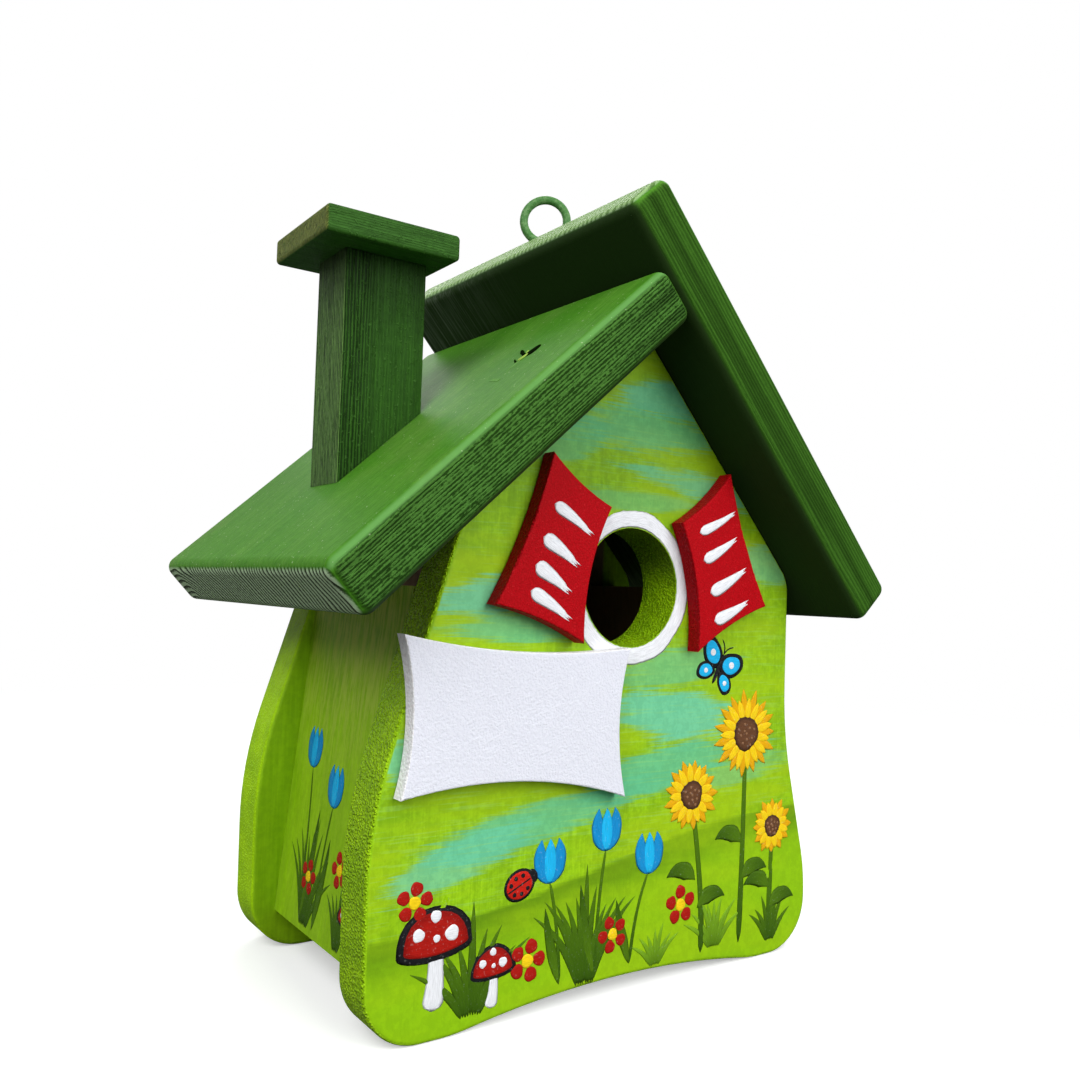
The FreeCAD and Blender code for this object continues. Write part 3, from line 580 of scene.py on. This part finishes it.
def dabbed(name, fleck_share, shine):
    """Paint that takes each pad's own shade."""
    material, tree, shader, spot, normal = new_material(name)
    shade = add(tree, "ShaderNodeAttribute", {}, attribute_name="shade").outputs["Color"]
    strand = add(tree, "ShaderNodeUVMap", {}, uv_map="strand").outputs["UV"]
    bristle = noise(tree, stretch(tree, strand, (0.35, 5.0, 1.0)), 1.0, 4.0, 0.6)
    fleck = noise(tree, spot, 1500.0, 2.0)
    dark = tint(tree, 1.0, shade, rgb(0.62, 0.62, 0.62), "MULTIPLY")
    colour = tint(tree, fade(tree, bristle, 0.35, 0.62, 0.55, 0.0), shade, dark)
    colour = tint(tree, fade(tree, fleck, 0.6, 0.75, 0.0, fleck_share), colour, rgb(0.8, 0.85, 0.8))
    tree.links.new(colour, shader.inputs["Base Color"])
    shader.inputs["Roughness"].default_value = 0.45
    shader.inputs["Specular IOR Level"].default_value = shine
    bump(tree, shader, calc(tree, "ADD", bristle, calc(tree, "MULTIPLY", fleck, 0.5)), 0.00012)
    return material


paint = dabbed("artist_paint", 0.10, 0.06)
SINK = 0.03


def curve(points, count):
    """Points along a Bezier curve of any order: repeated straight blends of its control points."""
    share = np.linspace(0, 1, count)[:, None, None]
    ladder = np.repeat(np.array(points, float)[None], count, axis=0)
    while ladder.shape[1] > 1:
        ladder = ladder[:, :-1] * (1 - share) + ladder[:, 1:] * share
    return ladder[:, 0]


def pad_ring(count):
    """Across a pad: from -1 over the crown to 1, then back underneath, with the height of each."""
    over = np.linspace(-1, 1, count)
    under = np.linspace(1, -1, count)[1:-1]
    return np.concatenate([over, under]), np.concatenate([1 - np.abs(over) ** 3, 0 * under - 1])


def stroke(points, widths, shade, thick=0.1, level=0, end_shade=None, count=14):
    """A brush stroke: a Bezier path, widths spread evenly along it, and a crowned section."""
    path = curve(points, count)
    run = np.gradient(path, axis=0)
    run /= np.linalg.norm(run, axis=1, keepdims=True) + 1e-9
    side = np.stack([-run[:, 1], run[:, 0]], axis=1)
    share = np.linspace(0, 1, count)
    half = np.interp(share, np.linspace(0, 1, len(widths)), widths) / 2
    half = half * np.minimum(1, np.minimum(share, 1 - share) * count * 0.55 + 1e-4) ** 0.5
    across, crown = pad_ring(7)
    flat = path[:, None] + side[:, None] * half[:, None, None] * across[None, :, None]
    lift = np.where(crown < 0, -SINK, crown * thick + level)
    lift = np.repeat(lift[None], count, axis=0)
    lift[[0, -1]] = -SINK
    colours = np.array(shade)[None] + (np.array(end_shade or shade) - np.array(shade))[None] * share[:, None]
    length = np.linalg.norm(np.diff(path, axis=0), axis=1).sum()
    strand = np.stack(np.broadcast_arrays(share[:, None] * length, across[None] * half.max() * 1.0), 2)
    return np.dstack([flat, lift]), np.repeat(colours[:, None], len(across), axis=1), strand


def blob(x, z, reach, shade, thick=0.12, level=0, tall=1.0, turn=0.0, wobble=0.05, flat_foot=1.0,
         rim=None):
    """A filled dab: rings from the crown to a wavering outline and back underneath.

    flat_foot squeezes its lower half, which makes a cap.
    """
    round_angle = np.linspace(0, 2 * np.pi, 24, endpoint=False)
    outline = 1 + wobble * np.sin(3 * round_angle + x) + wobble * 0.5 * np.sin(5 * round_angle + z)
    share = np.array([0.0, 0.35, 0.65, 0.88, 1.0, 0.5, 0.0])
    lift = np.array([1.0, 0.97, 0.85, 0.55, 0.0, -1.0, -1.0])
    lift = np.where(lift < 0, -SINK, lift * thick + level * (lift > 0))
    across = share[:, None] * outline[None] * reach * np.cos(round_angle)
    upright = share[:, None] * outline[None] * reach * tall * np.sin(round_angle)
    upright = np.where(upright < 0, upright * flat_foot, upright)
    angle = math.radians(turn)
    flat_x = x + across * math.cos(angle) - upright * math.sin(angle)
    flat_z = z + across * math.sin(angle) + upright * math.cos(angle)
    grid = np.dstack([flat_x, flat_z, np.repeat(lift[:, None], 24, axis=1)])
    colours = np.repeat(np.array(shade)[None], 24 * len(share), axis=0).reshape(len(share), 24, 4)
    if rim is not None:
        colours[3:] = np.array(rim)
    return grid, colours, np.dstack([flat_x, flat_z])


def on_front(x, z, lift):
    """The front board's face: x from the entrance's axis and z from the ground, in mm."""
    return np.stack([x / 1000 + AXIS_X, FRONT_Y - lift / 1000, z / 1000], axis=-1)


def paint_pads(name, pads, surface, coat=paint):
    """One mesh of many pads. Each is a grid whose columns close on themselves."""
    points, faces, shades, strands = [], [], [], []
    start = 0
    for grid, colours, strand in pads:
        rows, columns = grid.shape[:2]
        points.append(surface(grid[..., 0], grid[..., 1], grid[..., 2]).reshape(-1, 3))
        shades.append(colours.reshape(-1, 4))
        strands.append(strand.reshape(-1, 2))
        index = start + np.arange(rows * columns).reshape(rows, columns)
        following = np.roll(index, -1, axis=1)
        quads = np.stack([index[:-1], following[:-1], following[1:], index[1:]], axis=-1)
        faces.append(quads.reshape(-1, 4))
        start += rows * columns
    points, faces = np.concatenate(points), np.concatenate(faces)
    mesh = bpy.data.meshes.new(name)
    mesh.from_pydata(points.tolist(), [], faces.tolist())
    colour_layer = mesh.color_attributes.new("shade", "FLOAT_COLOR", "POINT")
    colour_layer.data.foreach_set("color", np.concatenate(shades).astype(np.float32).ravel())
    uv = mesh.uv_layers.new(name="strand")
    corners = np.concatenate(strands)[faces.ravel()]
    uv.data.foreach_set("uv", corners.astype(np.float32).ravel())
    shape = bmesh.new()
    shape.from_mesh(mesh)
    bmesh.ops.remove_doubles(shape, verts=shape.verts, dist=1e-7)
    bmesh.ops.recalc_face_normals(shape, faces=shape.faces)
    shape.to_mesh(mesh)
    shape.free()
    mesh.shade_smooth()
    mesh.materials.append(coat)
    made = bpy.data.objects.new(name, mesh)
    bpy.context.scene.collection.objects.link(made)
    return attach(made, "house")


WHITE = rgb(0.84, 0.86, 0.90)
RED = rgb(0.40, 0.010, 0.006)
YELLOW = rgb(0.90, 0.62, 0.010)
BLUE = rgb(0.015, 0.47, 0.86)
BLUE_DEEP = rgb(0.010, 0.27, 0.62)
BLACK = rgb(0.010, 0.010, 0.012)
BROWN = rgb(0.130, 0.055, 0.025)
BROWN_PALE = rgb(0.270, 0.140, 0.070)
LEAF = rgb(0.035, 0.095, 0.004)
LEAF_MID = rgb(0.085, 0.190, 0.006)
LEAF_PALE = rgb(0.240, 0.480, 0.020)

# White ring brushed round the entrance, ragged where it runs over the bore's edge.
round_angle = np.linspace(0, 2 * np.pi, 180, endpoint=False)
across, crown = pad_ring(9)
waver = 0.22 * np.sin(5 * round_angle + 1) + 0.16 * np.sin(11 * round_angle)
tooth = 0.05 * np.sin(37 * round_angle) + 0.04 * np.sin(61 * round_angle + 2)
middle = 18.45 + 0.5 * waver
half = 2.25 + 0.4 * waver + tooth
reach = middle[:, None] + half[:, None] * across[None]
reach = np.maximum(reach, 16.05)
lift = np.repeat(np.where(crown < 0, -SINK, crown * 0.05)[None], 180, axis=0)
ring_grid = np.dstack([reach * np.cos(round_angle)[:, None], 107.5 + reach * np.sin(round_angle)[:, None], lift])
ring_grid = np.concatenate([ring_grid, ring_grid[:1]])
ring_strand = np.stack(np.broadcast_arrays(np.linspace(0, 110, 181)[:, None], reach[:1] - 18), 2)
ring_shades = np.broadcast_to(np.array(WHITE), (181, len(across), 4))
paint_pads("entrance_ring", [(ring_grid, ring_shades, ring_strand)], on_front)

# Four white dashes on each shutter, fat where the brush came down and thin where it lifted.


def on_shutter(x, z, lift):
    """The shutters' faces."""
    return np.stack([x / 1000 + AXIS_X, FRONT_Y - (5.1 + lift) / 1000, z / 1000], axis=-1)


LEFT_DASHES = [
    ((-29.9, 127.6), (-18.4, 120.9), 2.9),
    ((-32.9, 119.2), (-22.4, 112.8), 3.5),
    ((-35.0, 112.2), (-24.8, 106.0), 3.6),
    ((-36.2, 105.8), (-24.4, 99.2), 3.2),
]
RIGHT_DASHES = [
    ((19.5, 123.2), (32.3, 129.3), 2.5),
    ((21.3, 115.5), (33.3, 122.0), 2.9),
    ((24.2, 106.6), (37.3, 113.4), 3.3),
    ((26.0, 98.8), (38.4, 104.2), 3.2),
]
for side, dashes in (("left", LEFT_DASHES), ("right", RIGHT_DASHES)):
    pads = []
    for (x, z), (end_x, end_z), fat in dashes:
        lean = 0.8 if side == "left" else -0.8
        path = [(x, z), ((x + end_x) / 2, (z + end_z) / 2 + lean), (end_x, end_z)]
        pads.append(stroke(path, [fat * 1.05, fat * 1.2, fat, fat * 0.72, fat * 0.45], WHITE, 0.2))
        start, end = np.array(path[0]), np.array(path[2])
        run = (end - start) / np.linalg.norm(end - start)
        for aside, beyond in ((-0.16, 0.9), (0.13, 1.5), (0.0, 0.6)):
            off = np.array([-run[1], run[0]]) * fat * aside
            pads.append(stroke([start + (end - start) * 0.72 + off, end + run * beyond + off],
                               [0.7, 0.5, 0.25], WHITE, 0.14, 0.03, count=6))
    paint_pads(side + "_shutter_dashes", pads, on_shutter)

# A staple has torn the left roof board's paint: pale splinters round a slot whose depth is drawn as near-black pads
# of painted shade.


def on_left_roof(x, y, lift):
    """The left roof board's top: x from the entrance's axis and y behind the front face, in mm."""
    slope = math.radians(42)
    z = 188.75 - (-7.54 - x) * math.tan(slope)
    return np.stack([(x - lift * math.sin(slope)) / 1000 + AXIS_X, FRONT_Y + y / 1000 + 0 * x,
                     (z + lift * math.cos(slope)) / 1000], axis=-1)


SPLINTER = rgb(0.330, 0.520, 0.090)
SLOT_SHADE = rgb(0.004, 0.010, 0.002)
PALE_SCRATCH = rgb(0.190, 0.400, 0.110)
# The first three pads are the slot's painted shade; the others are splinters and a pale scratch.
scar = [stroke([(-33.1, 6.9), (-31.6, 5.2), (-29.9, 3.1)], [1.6, 3.4, 4.6, 2.6], SLOT_SHADE, 0.12, 0.05),
        stroke([(-32.8, 5.8), (-31.2, 9.8), (-29.0, 13.6)], [1.8, 0.8, 1.1, 0.5], SLOT_SHADE, 0.12, 0.05),
        stroke([(-34.9, 7.0), (-34.2, 8.6), (-33.2, 10.2)], [0.8, 0.4, 0.5, 0.2], SLOT_SHADE, 0.10, 0.05),
        stroke([(-34.6, 6.6), (-32.4, 4.9)], [0.6, 1.5, 1.7, 0.5], SPLINTER, 0.25, 0.14),
        stroke([(-38.5, 6.1), (-35.6, 6.2), (-33.6, 5.9)], [0.2, 0.5, 0.8], PALE_SCRATCH, 0.05, 0.02),
        stroke([(-31.8, 6.8), (-30.6, 7.6)], [0.6, 0.6, 0.2], SPLINTER, 0.2, 0.10)]
paint_pads("torn_paint", scar, on_left_roof, dabbed("torn_coat", 0.0, 0.0))

# ----------------------------------------------------------------------------------------- meadow
# A meadow along the foot of the front: sunflowers and a ladybird on the right, toadstools with
# tulips in long grass on the left, and a butterfly over them.

draw = np.random.default_rng(11)


def grass(x, z, tall, blades, spread, shade, tip, thick=2.4):
    """A tuft of blades that fan out from one foot."""
    pads = []
    for number in range(blades):
        lean = (number / max(blades - 1, 1) - 0.5) * 2 * spread
        high = tall * (1 - 0.35 * abs(lean) / spread) * draw.uniform(0.75, 1.1)
        foot = x + lean * 0.15
        path = [(foot, z), (foot + lean * 0.15, z + high * 0.6), (x + lean, z + high)]
        pads.append(stroke(path, [thick * 0.5, thick, thick * 0.7, 0.25], shade, 0.07,
                           draw.uniform(0, 0.04), tip))
    return pads


def daisy(x, z, reach, petals, petal, heart, turn=0.0):
    """Round dabs about a middle dab."""
    pads = []
    for number in range(petals):
        angle = math.radians(turn) + number * math.tau / petals
        pads.append(blob(x + reach * math.cos(angle), z + reach * math.sin(angle), reach * 0.52,
                         petal, 0.14, 0.06))
    pads.append(blob(x, z, reach * 0.5, heart, 0.16, 0.12))
    return pads


def sunflower(x, foot, z, reach, petals):
    """Stem with two leaves, two rows of pointed petals and a brown seed head."""
    pads = [stroke([(foot, 5), (foot + 1, z * 0.4), (x, z)], [2.4, 1.9, 1.6], LEAF, 0.09, 0.02, LEAF_MID)]
    for lean, share in ((1, 0.36), (-1, 0.52)):
        base_x, base_z = foot + (x - foot) * share, z * share
        pads.append(stroke([(base_x, base_z), (base_x + lean * 5, base_z + 6), (base_x + lean * 11, base_z + 2)],
                           [0.8, 5.2, 4.2, 0.4], LEAF_MID, 0.10, 0.06, LEAF))
    for row, (long, shade, level) in enumerate(((1.0, rgb(0.78, 0.40, 0.005), 0.08), (0.84, YELLOW, 0.14))):
        for number in range(petals):
            angle = (number + 0.5 * row) * math.tau / petals
            way = np.array([math.cos(angle), math.sin(angle)])
            start = np.array([x, z]) + way * reach * 0.3
            end = np.array([x, z]) + way * reach * long * draw.uniform(0.93, 1.05)
            pads.append(stroke([start, (start + end) / 2, end], [1.6, 3.0, 2.4, 0.5], shade, 0.11, level, count=9))
    pads.append(blob(x, z, reach * 0.42, BROWN, 0.2, 0.2, rim=rgb(0.05, 0.022, 0.012)))
    for number in range(11):
        angle = number * 2.39996
        away = reach * 0.09 * math.sqrt(number)
        pads.append(blob(x + away * math.cos(angle), z + away * math.sin(angle), 0.42, BROWN_PALE, 0.1, 0.4))
    return pads


def toadstool(x, z, tall, wide):
    """White stem, red cap with a dark outline, and white spots."""
    cap_z = z + tall
    pads = [stroke([(x - 0.6, z), (x + 0.5, z + tall * 0.5), (x, cap_z)], [wide * 0.36, wide * 0.27, wide * 0.22], WHITE, 0.10, 0.05)]
    pads.append(blob(x, cap_z - wide * 0.03, wide * 0.62, BLACK, 0.09, 0.10, 0.98, 4, 0.02, 0.28))
    pads.append(blob(x, cap_z, wide * 0.55, RED, 0.14, 0.16, 0.98, 4, 0.02, 0.22,
                     rim=rgb(0.26, 0.006, 0.004)))
    for side, up, dot in ((-0.28, 0.2, 0.1), (0.24, 0.16, 0.12), (-0.02, 0.42, 0.09), (0.0, 0.12, 0.06)):
        pads.append(blob(x + wide * side, cap_z + wide * up, wide * dot, WHITE, 0.1, 0.28))
    return pads


def tulip(x, foot, z, tall, shade, deep):
    """A curved stem, one long leaf and a cup of three petals."""
    lean = x - foot
    pads = [stroke([(foot, z), (foot + lean * 0.2, z + tall * 0.6), (x, z + tall)], [1.2, 1.0, 0.9], LEAF, 0.07, 0.03, LEAF_MID),
            stroke([(foot, z), (foot - 4, z + tall * 0.45), (foot - 5, z + tall * 0.75)], [1.2, 3.2, 2.2, 0.3], LEAF_MID, 0.08, 0.05, LEAF)]
    top = z + tall
    for side, tone, level in ((-1, deep, 0.08), (1, deep, 0.08), (0, shade, 0.14)):
        path = [(x, top - 1), (x + side * 4.2, top + 4), (x + side * 2.6, top + 10.5)]
        pads.append(stroke(path, [1.6, 4.6, 4.0, 0.8], tone, 0.14, level, count=12))
    return pads


def butterfly(x, z, span, turn):
    """Four rounded wings with dark rims and a slim body."""
    pads = []
    way = math.radians(turn)
    for side in (-1, 1):
        for up, size, angle in ((0.38, 0.36, 35), (-0.28, 0.26, -35)):
            off_x, off_z = side * span * 0.30, span * up * 0.62
            wing_x = x + off_x * math.cos(way) - off_z * math.sin(way)
            wing_z = z + off_x * math.sin(way) + off_z * math.cos(way)
            lean = turn + side * angle
            pads.append(blob(wing_x, wing_z, span * size, BLACK, 0.09, 0.04, 0.72, lean, 0.03))
            pads.append(blob(wing_x, wing_z, span * size * 0.76, BLUE, 0.1, 0.12, 0.72, lean, 0.03))
            pads.append(blob(wing_x, wing_z, span * size * 0.22, WHITE, 0.08, 0.22, 1.0, lean, 0.03))
    ahead = np.array([-math.sin(way), math.cos(way)])
    side_way = np.array([math.cos(way), math.sin(way)])
    heart = np.array([x, z])
    pads.append(stroke([heart - ahead * span * 0.34, heart, heart + ahead * span * 0.34], [0.8, 1.7, 1.3], BLACK, 0.14, 0.18))
    for side in (-1, 1):
        start = heart + ahead * span * 0.3
        tip = start + ahead * span * 0.3 + side_way * side * span * 0.2
        pads.append(stroke([start, start + ahead * span * 0.2, tip], [0.45, 0.4, 0.5], BLACK, 0.06, 0.08, count=8))
    return pads


def ladybird(x, z, reach, turn):
    """A red dome with a dark head, a seam and six spots."""
    way = math.radians(turn)
    ahead = np.array([math.cos(way), math.sin(way)])
    across_way = np.array([-ahead[1], ahead[0]])
    heart = np.array([x, z])
    pads = [blob(x, z, reach * 1.12, BLACK, 0.09, 0.04, 0.84, turn, 0.0),
            blob(*(heart + ahead * reach * 0.95), reach * 0.45, BLACK, 0.14, 0.08, 1.0, turn, 0.0),
            blob(x, z, reach, rgb(0.55, 0.015, 0.008), 0.2, 0.1, 0.82, turn, 0.0),
            stroke([heart - ahead * reach, heart, heart + ahead * reach * 0.9], [0.4, 0.5, 0.4], BLACK, 0.06, 0.28)]
    for along, side in ((0.4, 0.42), (-0.1, 0.5), (-0.55, 0.3)):
        for flip in (-1, 1):
            pads.append(blob(*(heart + ahead * reach * along + across_way * reach * side * flip), reach * 0.15, BLACK, 0.07, 0.26))
    return pads


meadow = grass(-46, 3.5, 26, 9, 17, LEAF, LEAF_MID) + grass(-12, 4.5, 30, 11, 17, LEAF, LEAF_MID)
meadow += grass(34, 6, 17, 9, 12, LEAF_MID, LEAF_PALE, 1.9) + grass(57, 4, 18, 8, 9, LEAF, LEAF_MID, 2.0)
meadow += grass(12, 5, 12, 7, 9, LEAF_MID, LEAF_PALE, 1.6)
paint_pads("meadow_grass", meadow, on_front)
paint_pads("sunflowers", sunflower(45, 44, 66, 13, 15) + sunflower(24, 29, 50, 10.5, 13)
           + sunflower(57, 56, 38, 8.5, 12), on_front)
paint_pads("toadstools", toadstool(-56, 7, 15, 17) + toadstool(-40, 4.5, 9, 11), on_front)
paint_pads("tulips", tulip(-24, -20, 6, 27, BLUE, BLUE_DEEP) + tulip(-6, -9, 6, 33, BLUE, BLUE_DEEP)
           + tulip(9, 3, 7, 24, BLUE, BLUE_DEEP), on_front)
paint_pads("butterfly", butterfly(33, 85, 14, -28), on_front)
paint_pads("ladybird", ladybird(-33, 33, 4.2, 25), on_front)
daisies = daisy(-30, 14, 3.6, 5, RED, YELLOW) + daisy(21, 20, 3.6, 5, RED, YELLOW, 20)
daisies += daisy(-3, 16, 3.3, 5, RED, YELLOW, 40) + daisy(-62, 33, 3.2, 5, RED, YELLOW, 10)
paint_pads("red_daisies", daisies, on_front)

# The same meadow runs on along the left side board, which leans in a little.
LEAN = math.tan(math.radians(5.8))


def on_left_side(y, z, lift):
    """The left side board's outer face: y behind the front face and z from the ground, in mm."""
    foot_x = -67.5 + (z - 11.5) * LEAN
    return np.stack([(foot_x - lift) / 1000 + AXIS_X, FRONT_Y + (14 + y) / 1000, z / 1000], axis=-1)


side_meadow = grass(40, 12.5, 30, 11, 15, LEAF, LEAF_MID, 2.0) + grass(18, 12.5, 20, 7, 9, LEAF, LEAF_MID, 1.8)
side_meadow += tulip(30, 34, 13, 34, BLUE, BLUE_DEEP) + tulip(47, 43, 13, 42, BLUE, BLUE_DEEP)
side_meadow += daisy(21, 32, 3.2, 5, RED, YELLOW) + daisy(40, 26, 3.2, 5, RED, YELLOW, 30)
side_meadow += toadstool(13, 13, 8, 10)
paint_pads("side_meadow", side_meadow, on_left_side)

# --------------------------------------------------------------------------- floor, light, camera
# A pale sweep that shows white, soft boxes from the upper left and front, and a level lens.

ground_mesh = bpy.data.meshes.new("pale_floor")
ground_mesh.from_pydata([(-6, -6, 0), (6, -6, 0), (6, 6, 0), (-6, 6, 0)], [], [(0, 1, 2, 3)])
pale_floor = bpy.data.objects.new("pale_floor", ground_mesh)
bpy.context.scene.collection.objects.link(pale_floor)
floor_material = bpy.data.materials.new("pale_floor")
floor_material.use_nodes = True
tree = floor_material.node_tree
shader = tree.nodes["Principled BSDF"]
light_path = add(tree, "ShaderNodeLightPath")
seen = light_path.outputs["Is Camera Ray"]
ground = add(tree, "ShaderNodeTexCoord").outputs["Object"]
away = add(tree, "ShaderNodeVectorMath", {0: ground}, operation="LENGTH").outputs[1]
far = fade(tree, away, 0.22, 0.75)
near_white = tint(tree, far, rgb(0.80, 0.80, 0.80), rgb(0, 0, 0))
tree.links.new(tint(tree, seen, rgb(0.16, 0.16, 0.16), near_white), shader.inputs["Base Color"])
shader.inputs["Roughness"].default_value = 1.0
shader.inputs["Specular IOR Level"].default_value = 0.0
shader.inputs["Emission Color"].default_value = rgb(1, 1, 1)
glow = fade(tree, away, 0.22, 0.75, 0.38, 1.0)
tree.links.new(calc(tree, "MULTIPLY", seen, glow), shader.inputs["Emission Strength"])
ground_mesh.materials.append(floor_material)

world = bpy.data.worlds.new("studio")
bpy.context.scene.world = world
world.use_nodes = True
tree = world.node_tree
back = tree.nodes["Background"]
light_path = add(tree, "ShaderNodeLightPath")
shown = calc(tree, "MAXIMUM", light_path.outputs["Is Camera Ray"], light_path.outputs["Is Glossy Ray"])
shown = calc(tree, "MAXIMUM", shown, light_path.outputs["Is Transmission Ray"])
climb = add(tree, "ShaderNodeTexCoord").outputs["Generated"]
climb = add(tree, "ShaderNodeSeparateXYZ", {0: climb}).outputs["Z"]
ambient = fade(tree, climb, -0.1, 0.7, 0.04, 0.50)
strength = calc(tree, "MAXIMUM", shown, ambient)
tree.links.new(strength, back.inputs["Strength"])
back.inputs["Color"].default_value = rgb(1, 1, 1)


def soft_box(name, place, aim, wide, high, watts):
    """A rectangular area lamp pointed at a spot."""
    lamp = bpy.data.lights.new(name, "AREA")
    lamp.shape = "RECTANGLE"
    lamp.size, lamp.size_y = wide, high
    lamp.energy = watts
    made = bpy.data.objects.new(name, lamp)
    made.location = place
    made.rotation_euler = (Vector(aim) - Vector(place)).to_track_quat("-Z", "Y").to_euler()
    bpy.context.scene.collection.objects.link(made)


MIDDLE = (0, 0, 0.11)
soft_box("upper_left_box", (-0.80, -0.50, 0.80), MIDDLE, 0.8, 0.8, 10)
soft_box("front_box", (0.25, -1.15, 0.60), MIDDLE, 0.9, 0.9, 14)
soft_box("rear_box", (0.5, 0.95, 0.8), MIDDLE, 0.8, 0.8, 7)

# Camera at the viewer's eye, with its heading, climb and roll given as angles.
HEADING, CLIMB, ROLL = (math.radians(angle) for angle in (34.785, 2.039, 1.901))
ahead = Vector((math.sin(HEADING) * math.cos(CLIMB), math.cos(HEADING) * math.cos(CLIMB), math.sin(CLIMB)))
level_right = Vector((math.cos(HEADING), -math.sin(HEADING), 0))
level_up = level_right.cross(ahead)
right = math.cos(ROLL) * level_right + math.sin(ROLL) * level_up
upward = -math.sin(ROLL) * level_right + math.cos(ROLL) * level_up
lens = bpy.data.cameras.new("viewer")
lens.sensor_width = 36
lens.lens = 33.166
lens.shift_x = -0.00411
lens.shift_y = 0.01201
lens.clip_start = 0.01
camera = bpy.data.objects.new("viewer", lens)
bpy.context.scene.collection.objects.link(camera)
turned = Matrix((right, upward, -ahead)).transposed().to_4x4()
camera.matrix_world = Matrix.Translation((-0.16642, -0.24940, 0.10648)) @ turned
bpy.context.scene.camera = camera
bpy.context.scene.view_settings.view_transform = "Standard"
